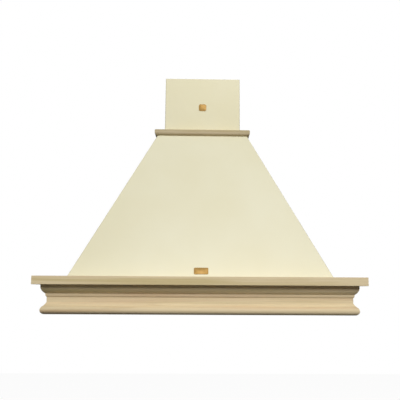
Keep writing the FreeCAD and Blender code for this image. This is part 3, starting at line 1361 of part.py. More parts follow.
def sub_parts():
    """Every sub-part by name, each with its solids."""
    shelf_front, shelf_left = shelf_boards()
    moulding_left = left_run(moulding_profile(), HOOD_WIDTH, HOOD_DEPTH)
    cornice_front, cornice_left = cornice_pieces()
    frame = filter_frame()
    mesh = filter_mesh()
    ring = pull_ring()
    scroll = scroll_half()
    flap_rear, flap_front = damper_flaps()
    fan_shaft_screws = screws(motor_arm_seats() + motor_screw_seats(), -X_AXIS, METAL_SCREW_DEPTH)
    parts = {
        "shelf_front": [shelf_front],
        "shelf_left": [shelf_left],
        "shelf_right": [mirrored(shelf_left)],
        "shelf_splines": [shelf_spline(), mirrored(shelf_spline())],
        "moulding_front": [front_run(moulding_profile(), HOOD_WIDTH, HOOD_DEPTH)],
        "moulding_left": [moulding_left],
        "moulding_right": [mirrored(moulding_left)],
        "cornice_front": [cornice_front],
        "cornice_left": [cornice_left],
        "cornice_right": [mirrored(cornice_left)],
        "cornice_screws": screws(cornice_screw_seats(), Z_AXIS, WOOD_SCREW_DEPTH),
        "canopy_shell": [canopy_shell()],
        "canopy_screws": screws(canopy_screw_seats(), -Z_AXIS, WOOD_SCREW_DEPTH),
        "back_panel": [back_panel()],
        "rivets": [rivet(*seat) for seat in all_rivets()],
        "chimney_cover": [chimney_cover()],
        "chimney_screws": screws(chimney_screw_seats(), -Z_AXIS, METAL_SCREW_DEPTH),
        "chimney_extension": [chimney_extension()],
        "chimney_bracket": [chimney_bracket()],
        "bracket_screws": bracket_screws(),
        "chimney_badge": [chimney_badge()],
        "name_plate": [name_plate()],
        "bottom_panel": [bottom_panel()],
        "panel_screws": screws(panel_screw_seats(), Z_AXIS, WOOD_SCREW_DEPTH),
        "control_plate": [control_plate()],
        "switch_housing": [switch_housing()],
        "speed_slider": [slider(SPEED_REST)],
        "light_slider": [slider(LIGHT_REST)],
        "scroll_left": [mirrored(scroll)],
        "scroll_right": [scroll_right()],
        "scroll_screws": screws(seam_screw_seats(), -X_AXIS, 2 * SEAM_THICKNESS),
        "impeller": [impeller()],
        "motor_shaft": [motor_shaft()],
        "motor": [motor()],
        "motor_bracket": [motor_bracket()],
        "motor_screws": fan_shaft_screws,
        "fan_support": [fan_support()],
        "fan_screws": screws(fan_screw_seats(), -Z_AXIS, FAN_SCREW_DEPTH),
        "outlet_adapter": [outlet_adapter()],
        "damper_pin": [rod(DAMPER_PIN_RADIUS, *damper_axis(SPIGOT_RADIUS - DAMPER_GAP / 2))],
        "damper_flap_rear": [flap_rear],
        "damper_flap_front": [flap_front],
        "terminal_box": [terminal_box()],
        "terminal_block": [terminal_block()],
        "capacitor": [capacitor()],
        "cable_gland": [cable_gland()],
    }
    for part, shape in (("frame", frame), ("mesh", mesh), ("ring", ring)):
        parts["filter_" + part + "_right"] = [shape]
        parts["filter_" + part + "_left"] = [mirrored(shape)]
    for part, shape in zip(("bezel", "lens", "can", "bulb"), lamp_parts()):
        parts["lamp_" + part + "_right"] = [shape]
        parts["lamp_" + part + "_left"] = [mirrored(shape)]
    return parts


def write_parts(parts):
    os.makedirs("parts", exist_ok=True)
    for name, solids in parts.items():
        shape = solids[0] if len(solids) == 1 else Part.makeCompound(solids)
        shape.exportStep("parts/" + name + ".step")


write_parts(sub_parts())
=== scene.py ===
import bpy
import bmesh
import json
import math
from mathutils import Matrix, Vector

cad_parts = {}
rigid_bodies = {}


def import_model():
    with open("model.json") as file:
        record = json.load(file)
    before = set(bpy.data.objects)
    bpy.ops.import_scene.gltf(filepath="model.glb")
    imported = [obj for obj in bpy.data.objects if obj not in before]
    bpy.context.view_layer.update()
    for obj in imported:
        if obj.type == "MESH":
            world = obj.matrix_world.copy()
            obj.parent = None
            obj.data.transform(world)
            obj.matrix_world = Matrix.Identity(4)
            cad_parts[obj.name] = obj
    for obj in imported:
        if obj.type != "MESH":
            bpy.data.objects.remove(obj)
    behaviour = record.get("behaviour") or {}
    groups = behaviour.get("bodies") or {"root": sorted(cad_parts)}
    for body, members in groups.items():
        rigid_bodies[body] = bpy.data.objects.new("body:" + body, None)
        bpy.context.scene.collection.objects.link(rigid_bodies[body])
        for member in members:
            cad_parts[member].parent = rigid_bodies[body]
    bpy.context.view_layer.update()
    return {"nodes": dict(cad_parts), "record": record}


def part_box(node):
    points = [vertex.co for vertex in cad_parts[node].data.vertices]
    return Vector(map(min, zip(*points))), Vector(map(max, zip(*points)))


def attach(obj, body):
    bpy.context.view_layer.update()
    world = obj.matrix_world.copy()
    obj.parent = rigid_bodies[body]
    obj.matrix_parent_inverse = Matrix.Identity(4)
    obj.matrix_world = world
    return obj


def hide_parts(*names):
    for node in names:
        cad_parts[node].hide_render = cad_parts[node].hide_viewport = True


# The look of a wall-mounted cooker hood in cream powder-coated steel with bare oak trim.
# Lengths are in metres and angles in degrees, unless a comment says otherwise.

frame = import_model()
NODES = frame["nodes"]
MM = 0.001

# The camera, fitted to the photograph's 400 by 400 frame
PHOTO_SIZE = 400
FOCAL_PIXELS = 546.0
SENSOR_MM = 36.0
CAMERA_PLACE = (1.1 * MM, -1971.4 * MM, 68.4 * MM)
CAMERA_PITCH = 9.080
CAMERA_YAW = -1.218
CAMERA_ROLL = 0.313
# How far right and down the lens axis lies from the middle of the frame
AXIS_RIGHT_PIXELS = 13.55
AXIS_DOWN_PIXELS = 2.04

# The key light: a large soft box high in front, at this bearing, rise and distance from its aim
KEY_AIM = (0, -0.35, 0.15)
KEY_AZIMUTH = 7.0
KEY_ELEVATION = 33.0
KEY_DISTANCE = 4.8
KEY_SIZE = (2.4, 2.5)
KEY_POWER = 198
# The even light from all round
WORLD_LEVEL = 0.08

# The floor lies well below the hood, which hangs on a wall
FLOOR_HEIGHT = -1.4
FLOOR_REACH = 8.0
FLOOR_ROUGHNESS = 0.9
# Where the floor is seen it glows, and its own colour on top of that keeps the shadow
FLOOR_GLOW = 0.93
FLOOR_SEEN = (0.30, 0.30, 0.29, 1)
# The darker colour that throws light back up at the hood
FLOOR_BOUNCE = (0.055, 0.055, 0.053, 1)


# ---------------------------------------------------------------- node helpers

# Parts of a noise's values that a ramp spreads its two ends over. Most values lie in the first.
MOST = (0.3, 0.7)
NARROW = (0.35, 0.65)
WIDE = (0.2, 0.8)


def linear(colour):
    """An sRGB colour of 0 to 255 as the linear values that a shader takes."""
    values = []
    for c in colour:
        c /= 255
        values.append(c / 12.92 if c <= 0.04045 else ((c + 0.055) / 1.055) ** 2.4)
    return (*values, 1.0)


class Tree:
    """A material's node tree, with short ways to add nodes and join them."""

    def __init__(self, name):
        self.material = bpy.data.materials.new(name)
        self.material.use_nodes = True
        self.nodes = self.material.node_tree.nodes
        self.links = self.material.node_tree.links
        self.shader = self.nodes["Principled BSDF"]

    def add(self, kind, inputs=None, **settings):
        node = self.nodes.new(kind)
        for key, value in settings.items():
            setattr(node, key, value)
        for key, value in (inputs or {}).items():
            self.put(node.inputs[key], value)
        return node

    def put(self, socket, value):
        if isinstance(value, bpy.types.NodeSocket):
            self.links.new(value, socket)
        else:
            socket.default_value = value

    def set(self, **values):
        """Values of the shader's own sockets, by name with underscores."""
        for key, value in values.items():
            self.put(self.shader.inputs[key.replace("_", " ")], value)

    def place(self, turn=(0, 0, 0), shift=(0, 0, 0)):
        """The object's own coordinates, in metres, turned and shifted."""
        coords = self.add("ShaderNodeTexCoord")
        mapping = self.add("ShaderNodeMapping", {"Vector": coords.outputs["Object"]})
        mapping.inputs["Location"].default_value = shift
        mapping.inputs["Rotation"].default_value = [math.radians(a) for a in turn]
        return mapping.outputs["Vector"]

    def stretch(self, vector, scale):
        multiply = self.add("ShaderNodeVectorMath", {0: vector, 1: scale}, operation="MULTIPLY")
        return multiply.outputs["Vector"]

    def noise(self, vector, scale, detail, roughness, distortion=0.0):
        inputs = {"Vector": vector, "Scale": scale, "Detail": detail, "Roughness": roughness}
        inputs["Distortion"] = distortion
        return self.add("ShaderNodeTexNoise", inputs).outputs["Fac"]

    def ramp(self, factor, *stops):
        """A colour ramp, or a ramp of greys where the stops hold plain numbers."""
        node = self.add("ShaderNodeValToRGB", {"Fac": factor})
        elements = node.color_ramp.elements
        while len(elements) < len(stops):
            elements.new(0.5)
        for element, (position, value) in zip(elements, stops):
            element.position = position
            element.color = value if isinstance(value, tuple) else (value, value, value, 1)
        return node.outputs["Color"]

    def spread(self, noise, low, high, ends=MOST):
        """A ramp from one value to another between two of a noise's values."""
        return self.ramp(noise, (ends[0], low), (ends[1], high))

    def mix(self, factor, a, b, blend="MIX"):
        node = self.add("ShaderNodeMix", data_type="RGBA", blend_type=blend)
        self.put(node.inputs["Factor"], factor)
        self.put(node.inputs["A"], a)
        self.put(node.inputs["B"], b)
        return node.outputs["Result"]

    def math(self, operation, a, b=0.0):
        node = self.add("ShaderNodeMath", {0: a, 1: b}, operation=operation)
        return node.outputs["Value"]

    def bump(self, height, strength, distance):
        inputs = {"Height": height, "Strength": strength, "Distance": distance}
        return self.add("ShaderNodeBump", inputs).outputs["Normal"]


# ---------------------------------------------------------------- materials

OAK_LIGHT = linear((233, 216, 178))
OAK_TAN = linear((219, 192, 148))
OAK_OLIVE = linear((215, 198, 150))
OAK_PINK = linear((226, 195, 160))
OAK_PORE = linear((150, 124, 84))
CREAM = linear((231, 226, 196))
CREAM_DEEP = linear((228, 222, 189))
CHIMNEY_CREAM = linear((226, 219, 183))
CHIMNEY_DEEP = linear((223, 215, 175))
# The cornice's oak is darkened as a whole by this factor; the shelf and the moulding keep the oak
# as it is
CORNICE_SHADE = 0.72

# The oak's noises: how often each repeats in a metre along the grain and across it
TONE_STREAKS = (0.9, 34, 34)
PINK_STREAKS = (1.3, 60, 60)
RING_DRIFT = (0.8, 7, 7)
FIBRES = (14, 900, 900)
PORES = (55, 2300, 2300)
TONE_STOPS = ((0.32, OAK_OLIVE), (0.46, OAK_LIGHT), (0.56, OAK_LIGHT), (0.70, OAK_TAN))
# The year rings: how many to a metre, how far they wander, how far below their centre lies
RINGS_PER_METRE = 300.0
RING_WANDER = 0.03
PITH_DEPTH = 0.16
LATE_WOOD_STOPS = ((0.0, 1.0), (0.16, 0.35), (0.55, 0.0), (0.93, 0.0), (1.0, 1.0))
# How strongly each feature colours the wood
LATE_WOOD_TINT = 0.13
PORE_TINT = 0.42
PINK_TINT = 0.45
FIBRE_TINT = 0.22
# The noise values over which the pink comes in and a pore opens
PINK_RANGE = (0.52, 0.66)
PORE_RANGE = (0.60, 0.70)
# How far the fibres stand up and the pores go down, as shares of the bump
FIBRE_RISE = 0.5
PORE_DEPTH = 0.8
# Most pores lie in the late wood, and this share of them anywhere
STRAY_PORES = 0.2
# How far each board's piece of grain lies from the board before it
BOARD_SHIFT = (0.37, 0.071, 0.043)

# The brass's brushing and the zinc's spangles, by how often they repeat in a metre
BRUSHING = (30, 2400, 2400)
SPANGLES = 190.0
# How much darker a metal's colour gets in its grain, and how much rougher
METAL_DARK = 0.9
METAL_ROUGHER = 0.14
# How much lighter a plastic's colour gets in its grain, out of 255, and how much rougher
PLASTIC_LIFT = 8
PLASTIC_ROUGHER = 0.12
CLEAR_IOR = 1.49


def oak(name, along, shift, shade=1.0):
    """Bare sanded oak with its grain along X or Y. The shade darkens it as a whole."""
    t = Tree(name)
    place = t.place(turn=(0, 0, -90 if along == "Y" else 0), shift=shift)
    streaks = t.stretch(place, TONE_STREAKS)
    streaks = t.noise(streaks, scale=1.5, detail=4.0, roughness=0.55, distortion=0.15)
    tone = t.ramp(streaks, *TONE_STOPS)
    blush = t.noise(t.stretch(place, PINK_STREAKS), scale=1.0, detail=2.0, roughness=0.5)
    tone = t.mix(t.spread(blush, 0.0, PINK_TINT, PINK_RANGE), tone, OAK_PINK)
    axis = t.add("ShaderNodeSeparateXYZ", {"Vector": place})
    drift = t.noise(t.stretch(place, RING_DRIFT), scale=1.0, detail=2.0, roughness=0.5)
    across = t.math("ADD", axis.outputs["Y"], t.math("MULTIPLY", drift, RING_WANDER))
    up = t.math("ADD", axis.outputs["Z"], PITH_DEPTH)
    squares = t.math("ADD", t.math("POWER", across, 2.0), t.math("POWER", up, 2.0))
    ring = t.math("FRACT", t.math("MULTIPLY", t.math("SQRT", squares), RINGS_PER_METRE))
    late = t.ramp(ring, *LATE_WOOD_STOPS)
    fibre = t.noise(t.stretch(place, FIBRES), scale=1.0, detail=4.0, roughness=0.65)
    pores = t.noise(t.stretch(place, PORES), scale=1.0, detail=2.0, roughness=0.5)
    pore_mask = t.spread(pores, 0.0, 1.0, PORE_RANGE)
    share = t.math("ADD", t.math("MULTIPLY", late, 1 - STRAY_PORES), STRAY_PORES)
    pore = t.math("MULTIPLY", pore_mask, share)
    colour = t.mix(t.math("MULTIPLY", late, LATE_WOOD_TINT), tone, OAK_PORE)
    colour = t.mix(t.math("MULTIPLY", pore, PORE_TINT), colour, OAK_PORE)
    colour = t.mix(t.spread(fibre, 0.0, FIBRE_TINT), colour, OAK_TAN, "MULTIPLY")
    colour = t.mix(1.0, colour, (shade, shade, shade, 1), "MULTIPLY")
    raised, sunk = t.math("MULTIPLY", fibre, FIBRE_RISE), t.math("MULTIPLY", pore, PORE_DEPTH)
    height = t.math("SUBTRACT", raised, sunk)
    t.set(Base_Color=colour, Normal=t.bump(height, strength=0.35, distance=0.25 * MM))
    t.set(Roughness=t.spread(fibre, 0.62, 0.78), Specular_IOR_Level=0.35)
    return t.material


def powder_coat(name, shade, deep):
    """Satin powder coat: a very fine orange peel and a hardly visible drift of tone."""
    t = Tree(name)
    place = t.place()
    drift = t.noise(place, scale=5.0, detail=3.0, roughness=0.5)
    peel = t.noise(place, scale=620.0, detail=2.0, roughness=0.5)
    t.set(Base_Color=t.mix(t.spread(drift, 0.0, 1.0, NARROW), shade, deep))
    t.set(Roughness=t.spread(peel, 0.40, 0.50))
    t.set(Normal=t.bump(peel, strength=0.10, distance=0.3 * MM))
    return t.material


def brass(name, dark, light):
    """Satin brass, brushed along its length."""
    t = Tree(name)
    lines = t.noise(t.stretch(t.place(), BRUSHING), scale=1.0, detail=3.0, roughness=0.6)
    cloud = t.noise(t.place(), scale=60.0, detail=2.0, roughness=0.5)
    tone = t.spread(cloud, linear(dark), linear(light))
    t.set(Base_Color=tone, Metallic=1.0, Roughness=t.spread(lines, 0.46, 0.58))
    t.set(Normal=t.bump(lines, strength=0.25, distance=0.1 * MM))
    return t.material


def galvanised(name, dark, light):
    """Hot-dip galvanised sheet with its soft spangle."""
    t = Tree(name)
    place = t.place()
    cells = t.add("ShaderNodeTexVoronoi", {"Vector": place, "Scale": SPANGLES})
    spangle = t.add("ShaderNodeSeparateColor", {"Color": cells.outputs["Color"]}).outputs["Red"]
    haze = t.noise(place, scale=40.0, detail=4.0, roughness=0.6)
    shade = t.math("ADD", t.math("MULTIPLY", spangle, 0.5), t.math("MULTIPLY", haze, 0.5))
    t.set(Base_Color=t.spread(shade, linear(dark), linear(light), WIDE))
    t.set(Metallic=0.85, Roughness=t.spread(shade, 0.40, 0.50, WIDE))
    t.set(Normal=t.bump(haze, strength=0.08, distance=0.4 * MM))
    return t.material


def metal(name, colour, roughness, grain=(400, 400, 400), strength=0.08):
    """A plain metal whose fine grain repeats this often in a metre along X, Y and Z."""
    t = Tree(name)
    fine = t.noise(t.stretch(t.place(), grain), scale=1.0, detail=3.0, roughness=0.55)
    dark = linear([c * METAL_DARK for c in colour])
    t.set(Base_Color=t.spread(fine, dark, linear(colour)), Metallic=1.0)
    t.set(Roughness=t.spread(fine, roughness, roughness + METAL_ROUGHER))
    t.set(Normal=t.bump(fine, strength, distance=0.2 * MM))
    return t.material


def plastic(name, colour, roughness, grain=900.0):
    """Moulded plastic with a spark-eroded grain."""
    t = Tree(name)
    fine = t.noise(t.place(), grain, detail=3.0, roughness=0.6)
    lift = linear([min(255, c + PLASTIC_LIFT) for c in colour])
    t.set(Base_Color=t.spread(fine, linear(colour), lift, NARROW))
    t.set(Roughness=t.spread(fine, roughness, roughness + PLASTIC_ROUGHER))
    t.set(Normal=t.bump(fine, strength=0.12, distance=0.2 * MM))
    return t.material


def clear(name, colour, roughness, frost):
    """Glass or a clear moulding. Frost is how far the surface scatters the light."""
    t = Tree(name)
    fine = t.noise(t.place(), scale=1400.0, detail=2.0, roughness=0.5)
    t.set(Base_Color=linear(colour), Transmission_Weight=1.0, IOR=CLEAR_IOR)
    t.set(Roughness=t.spread(fine, roughness, roughness + frost))
    t.set(Normal=t.bump(fine, frost, distance=0.1 * MM))
    return t.material


BRASS_TONES = ((118, 93, 50), (133, 106, 64))
ZINC_TONES = ((182, 186, 188), (204, 207, 208))
STEEL = (186, 187, 186)
ALUMINIUM = (212, 214, 216)
SLOTS = {
    "cream_paint": powder_coat("cream powder coat", CREAM, CREAM_DEEP),
    "galvanised": galvanised("galvanised sheet", *ZINC_TONES),
    "brass": brass("satin brass", *BRASS_TONES),
    "screw_steel": metal("zinc plating", (198, 199, 196), 0.26),
    "rivet_aluminium": metal("rivet aluminium", ALUMINIUM, 0.30),
    "filter_aluminium": metal("filter aluminium", ALUMINIUM, 0.28, (40, 900, 900)),
    "motor_paint": plastic("black enamel", (34, 34, 36), 0.32, 500.0),
    "dark_plastic": plastic("black moulding", (38, 38, 40), 0.48),
    "control_trim": metal("brushed trim", STEEL, 0.26, (25, 1800, 1800), 0.12),
    "slider_plastic": plastic("slider moulding", (30, 30, 31), 0.34),
    "light_plastic": plastic("white moulding", (224, 223, 216), 0.40),
    "lamp_tin": metal("lamp reflector", (222, 224, 224), 0.20),
    "lamp_lens": clear("frosted lens", (238, 240, 238), 0.35, 0.25),
    "lamp_glass": clear("bulb glass", (246, 246, 242), 0.04, 0.04),
}
OAK_ALONG_X = ("shelf_front", "moulding_front", "cornice_front", "shelf_splines")
OAK_ALONG_Y = (
    "shelf_left", "shelf_right", "moulding_left", "moulding_right",
    "cornice_left", "cornice_right",
)


def paint(obj, material):
    obj.data.materials.clear()
    obj.data.materials.append(material)


def paint_nodes():
    """Every node gets its slot's material. Each oak piece has its own stretch of grain."""
    for entry in frame["record"]["subparts"]:
        name = entry["node"]
        if entry["material_slot"] == "oak":
            along = "X" if name in OAK_ALONG_X else "Y"
            number = (OAK_ALONG_X + OAK_ALONG_Y).index(name)
            shift = [step * number for step in BOARD_SHIFT]
            shade = CORNICE_SHADE if name.startswith("cornice") else 1.0
            paint(NODES[name], oak("oak " + name, along, shift, shade))
        else:
            paint(NODES[name], SLOTS[entry["material_slot"]])
    paint(NODES["chimney_cover"], powder_coat("chimney powder coat", CHIMNEY_CREAM, CHIMNEY_DEEP))


# ---------------------------------------------------------------- edges

# Corners nearer than this are one corner
WELD = 0.02 * MM
# Edges sharper than this stay sharp, or get a round where the node is eased
SHARP_ANGLE = 35
BEVEL_SEGMENTS = 2
# The width of the round on each node's edges, in millimetres
EASED = {
    "shelf_front": 0.5, "shelf_left": 0.5, "shelf_right": 0.5,
    "moulding_front": 0.35, "moulding_left": 0.35, "moulding_right": 0.35,
    "cornice_front": 0.35, "cornice_left": 0.35, "cornice_right": 0.35,
    "canopy_shell": 0.3, "chimney_cover": 0.3, "bottom_panel": 0.3,
    "control_plate": 0.3, "switch_housing": 0.8, "speed_slider": 0.5, "light_slider": 0.5,
    "lamp_bezel_right": 0.6, "lamp_bezel_left": 0.6,
    "filter_ring_right": 0.9, "filter_ring_left": 0.9,
    "terminal_box": 0.8, "capacitor": 1.2, "outlet_adapter": 0.4, "motor": 2.0,
}


def ease_edges(obj, width):
    """A small round on every sharp edge, so that it catches the light."""
    weld = obj.modifiers.new("weld", "WELD")
    weld.merge_threshold = WELD
    bevel = obj.modifiers.new("eased edges", "BEVEL")
    bevel.width = width * MM
    bevel.segments = BEVEL_SEGMENTS
    bevel.limit_method = "ANGLE"
    bevel.angle_limit = math.radians(SHARP_ANGLE)
    bevel.harden_normals = True


# ---------------------------------------------------------------- mesh helpers


def finished(name, bm, *materials):
    """A new object from a bmesh, smooth except at its sharp edges."""
    bmesh.ops.recalc_face_normals(bm, faces=bm.faces)
    mesh = bpy.data.meshes.new(name)
    bm.to_mesh(mesh)
    bm.free()
    mesh.shade_smooth()
    mesh.set_sharp_from_angle(angle=math.radians(SHARP_ANGLE))
    for material in materials:
        mesh.materials.append(material)
    obj = bpy.data.objects.new(name, mesh)
    bpy.context.scene.collection.objects.link(obj)
    return obj


def body_of(node):
    return NODES[node].parent.name.split(":")[1]


def slot_of(node):
    return next(e["material_slot"] for e in frame["record"]["subparts"] if e["node"] == node)


def stand_for(obj, node):
    """The piece takes a node's place: the node is hidden and the piece goes on the node's body.
    """
    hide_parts(node)
    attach(obj, body_of(node))


def lathe(bm, profile, turn, segments):
    """Turns a profile of (radius, height) points about Z, then moves it by a matrix.

    A point of radius 0 closes its end. The rings of corners are returned.
    """
    rings = []
    for radius, height in profile:
        angles = [math.tau * i / segments for i in range(segments if radius else 1)]
        spots = [Vector((radius * math.cos(a), radius * math.sin(a), height)) for a in angles]
        rings.append([bm.verts.new(turn @ spot) for spot in spots])
    for low, high in zip(rings, rings[1:]):
        for i in range(segments):
            j = i + 1
            around = [low[i % len(low)], low[j % len(low)]]
            around += [high[j % len(high)], high[i % len(high)]]
            bm.faces.new(list(dict.fromkeys(around)))
    return rings


def bridge(bm, low, high):
    """Faces between two closed loops of as many corners."""
    for i in range(len(low)):
        bm.faces.new((low[i - 1], low[i], high[i], high[i - 1]))


def pointing(start, direction):
    """A matrix that puts the origin at start and turns Z along a direction."""
    return Matrix.Translation(start) @ direction.to_track_quat("Z", "Y").to_matrix().to_4x4()


# ---------------------------------------------------------------- fasteners

# The solids that stand for fasteners have this many corners at each end
HEXAGON = 6
HEAD_SEGMENTS = 24
# The shank's profile in shares of its radius and length, and a head's in shares of the head's own
SHANK = ((0.0, -1.0), (0.55, -1.0), (0.95, -0.9), (0.95, 0.0))
PAN_HEAD = ((1.0, 0.0), (1.0, 0.35), (0.93, 0.7), (0.80, 0.92), (0.66, 1.0))
RIVET_HEAD = (
    (1.0, 0.0), (0.97, 0.3), (0.82, 0.7), (0.58, 0.95), (0.36, 1.0), (0.30, 0.55), (0.0, 0.5),
)
# The cross recess: its reach in the head's radius, its arm in its reach, its depth in the head's
# height, and how far its floor is drawn in
RECESS_REACH = 0.50
RECESS_ARM = 0.28
RECESS_DEPTH = 0.75
RECESS_TAPER = 0.6
SCREW_NODES = (
    "cornice_screws", "canopy_screws", "chimney_screws", "panel_screws",
    "bracket_screws", "scroll_screws", "motor_screws", "fan_screws",
)


def solids_of(node):
    """The corners of each separate solid in a node."""
    bm = bmesh.new()
    bm.from_mesh(NODES[node].data)
    bmesh.ops.remove_doubles(bm, verts=bm.verts, dist=WELD)
    found, groups = set(), []
    for first in bm.verts:
        if first in found:
            continue
        found.add(first)
        group = [first]
        for vert in group:
            others = [edge.other_vert(vert) for edge in vert.link_edges]
            group += [other for other in others if other not in found]
            found.update(others)
        groups.append([vert.co.copy() for vert in group])
    bm.free()
    return groups


def fastener_axis(spots):
    """The axis, 0 to 2, that a hexagonal fastener lies along: both its ends are hexagons."""
    for axis in range(3):
        along = [spot[axis] for spot in spots]
        low = sum(value < min(along) + WELD for value in along)
        high = sum(value > max(along) - WELD for value in along)
        if low == high == HEXAGON:
            return axis


def fastener_stance(spots):
    """Where a fastener sits, from its corners.

    Returns a matrix at its seat with Z out of the head, then the shank's radius and length and
    the head's radius and height.
    """
    axis = fastener_axis(spots)
    middle = sum(spots, Vector()) / len(spots)
    reach = []
    for spot in spots:
        away = spot - middle
        away[axis] = 0
        reach.append(away.length)
    limit = (min(reach) + max(reach)) / 2
    head = [spot[axis] for spot, far in zip(spots, reach) if far > limit]
    shank = [spot[axis] for spot, far in zip(spots, reach) if far < limit]
    outward = 1 if max(head) > max(shank) else -1
    seat, top = (min(head), max(head))[::outward]
    tip = min(shank) if outward > 0 else max(shank)
    direction = Vector()
    direction[axis] = outward
    middle[axis] = seat
    return pointing(middle, direction), min(reach), abs(seat - tip), max(reach), abs(top - seat)


def cross_recess(bm, rim, turn, radius, height):
    """A cross recess sunk in the flat top inside a rim."""
    far, arm = radius * RECESS_REACH, radius * RECESS_REACH * RECESS_ARM
    quarter = [(far, -arm), (far, arm), (arm, arm)]
    turns = [Matrix.Rotation(math.radians(90 * i), 2) for i in range(4)]
    outline = [quarter_turn @ Vector(point) for quarter_turn in turns for point in quarter]
    upper = [bm.verts.new(turn @ Vector((x, y, height))) for x, y in outline]
    floor = height * (1 - RECESS_DEPTH)
    drawn_in = [(x * RECESS_TAPER, y * RECESS_TAPER, floor) for x, y in outline]
    lower = [bm.verts.new(turn @ Vector(spot)) for spot in drawn_in]
    edges = [bm.edges.new((upper[i - 1], upper[i])) for i in range(len(upper))]
    edges += [bm.edges.get((rim[i - 1], rim[i])) for i in range(len(rim))]
    bmesh.ops.triangle_fill(bm, use_beauty=True, use_dissolve=False, edges=edges)
    bridge(bm, upper, lower)
    bm.faces.new(lower)


def fasteners(node, head_profile, recessed):
    """Round-headed fasteners in place of a node's hexagonal ones."""
    bm = bmesh.new()
    for spots in solids_of(node):
        turn, shank, length, head, height = fastener_stance(spots)
        profile = [(radius * shank, along * length) for radius, along in SHANK]
        profile += [(radius * head, along * height) for radius, along in head_profile]
        rings = lathe(bm, profile, turn, HEAD_SEGMENTS)
        if recessed:
            cross_recess(bm, rings[-1], turn, head, height)
    stand_for(finished(node + "_round", bm, SLOTS[slot_of(node)]), node)


# ---------------------------------------------------------------- brass plates

CORNER_STEPS = 6
RIM_WIDTH = 1.1 * MM
RIM_EDGE = 0.25 * MM
RIM_DROP = 0.45 * MM
DOME_RINGS = 6
# A corner keeps this share of its radius, however far it is drawn in
LEAST_CORNER = 0.2
# Each plate's corner radius and the rise of its dome
PLATE_FORMS = {"chimney_badge": (6.0 * MM, 0.9 * MM), "name_plate": (3.0 * MM, 0.8 * MM)}


def plate_frame(node):
    """A matrix in the middle of a plate's back with Z out of its front, and the plate's sizes."""
    mesh = NODES[node].data
    normal = max(mesh.polygons, key=lambda face: face.area).normal.copy()
    if normal.y > 0:
        normal.negate()
    up = (Vector((0, 0, 1)) - normal * normal.z).normalized()
    middle, sizes, axes = Vector(), [], (up.cross(normal), up, normal)
    for axis in axes:
        along = [axis.dot(vert.co) for vert in mesh.vertices]
        sizes.append(max(along) - min(along))
        middle += axis * (min(along) if axis is normal else (min(along) + max(along)) / 2)
    turn = Matrix(axes).transposed().to_4x4()
    return Matrix.Translation(middle) @ turn, sizes


def rounded_loop(width, height, corner, inset):
    """Points round a rectangle with rounded corners, drawn in by an inset."""
    radius = max(corner - inset, LEAST_CORNER * corner)
    x, y = width / 2 - inset - radius, height / 2 - inset - radius
    points = []
    for side_x, side_y, start in ((1, 1, 0), (-1, 1, 90), (-1, -1, 180), (1, -1, 270)):
        for i in range(CORNER_STEPS + 1):
            angle = math.radians(start + 90 * i / CORNER_STEPS)
            out_x, out_y = radius * math.cos(angle), radius * math.sin(angle)
            points.append((side_x * x + out_x, side_y * y + out_y))
    return points


def brass_plate(node):
    """A pressed plate: a raised rim round a bare field that is slightly domed."""
    turn, (width, height, thick) = plate_frame(node)
    corner, dome = PLATE_FORMS[node]
    field = thick - RIM_DROP
    rings = [(0, 0), (0, thick - RIM_EDGE), (RIM_EDGE, thick)]
    rings += [(RIM_WIDTH, thick), (RIM_WIDTH + RIM_EDGE, field)]
    start = RIM_WIDTH + 2 * RIM_EDGE
    reach = min(width, height) / 2 - start
    for i in range(DOME_RINGS):
        share = i / DOME_RINGS
        rings.append((start + reach * share, field + dome * (1 - (1 - share) ** 2)))
    bm = bmesh.new()
    loops = []
    for inset, rise in rings:
        points = rounded_loop(width, height, corner, inset)
        loops.append([bm.verts.new(turn @ Vector((x, y, rise))) for x, y in points])
    for low, high in zip(loops, loops[1:]):
        bridge(bm, low, high)
    bm.faces.new(loops[0])
    bm.faces.new(loops[-1])
    stand_for(finished(node + "_pressed", bm, SLOTS["brass"]), node)


# ---------------------------------------------------------------- filters, lamps and sliders

# The mesh's face keeps this far inside its box, where the filter's frame holds it
FILTER_BORDER = 11.0 * MM
DIAMOND_LENGTH = 9.0 * MM
DIAMOND_HEIGHT = 4.0 * MM
STRAND_WIDTH = 0.8 * MM
# The heights of a strand's faces from the mesh's lower face
STRAND_LOW = -0.35 * MM
STRAND_HIGH = 0.25 * MM
RIB_PITCH = 3.0 * MM
RIB_DEPTH = 0.8 * MM
RIB_STEPS = 6
# The bulb in millimetres: (radius, distance from the cap's end) along its axis
BULB_CAP = ((0, 0), (4.5, 0), (6.0, 1.0), (6.0, 3.5))
THREAD_START = 4.5
THREAD_CREST = 6.7
THREAD_ROOT = 6.1
THREAD_TURNS = 4
THREAD_PITCH = 2.9
BULB_GLASS = (
    (6.8, 17.5), (6.8, 22), (6.3, 22.4), (7.2, 27), (8.3, 34), (8.9, 41), (8.8, 47),
    (7.8, 55), (5.7, 62), (3.3, 67.5), (1.6, 70.8), (0, 72),
)
# Where the cap ends and the glass begins
BULB_JOINT = 22.2
GRIP_RIBS = 3
GRIP_PITCH = 3.0 * MM
GRIP_RADIUS = 0.6 * MM
GRIP_MARGIN = 2.5 * MM
ROUND_STEPS = 4
SMALL_SEGMENTS = 12
SIDES = ("right", "left")


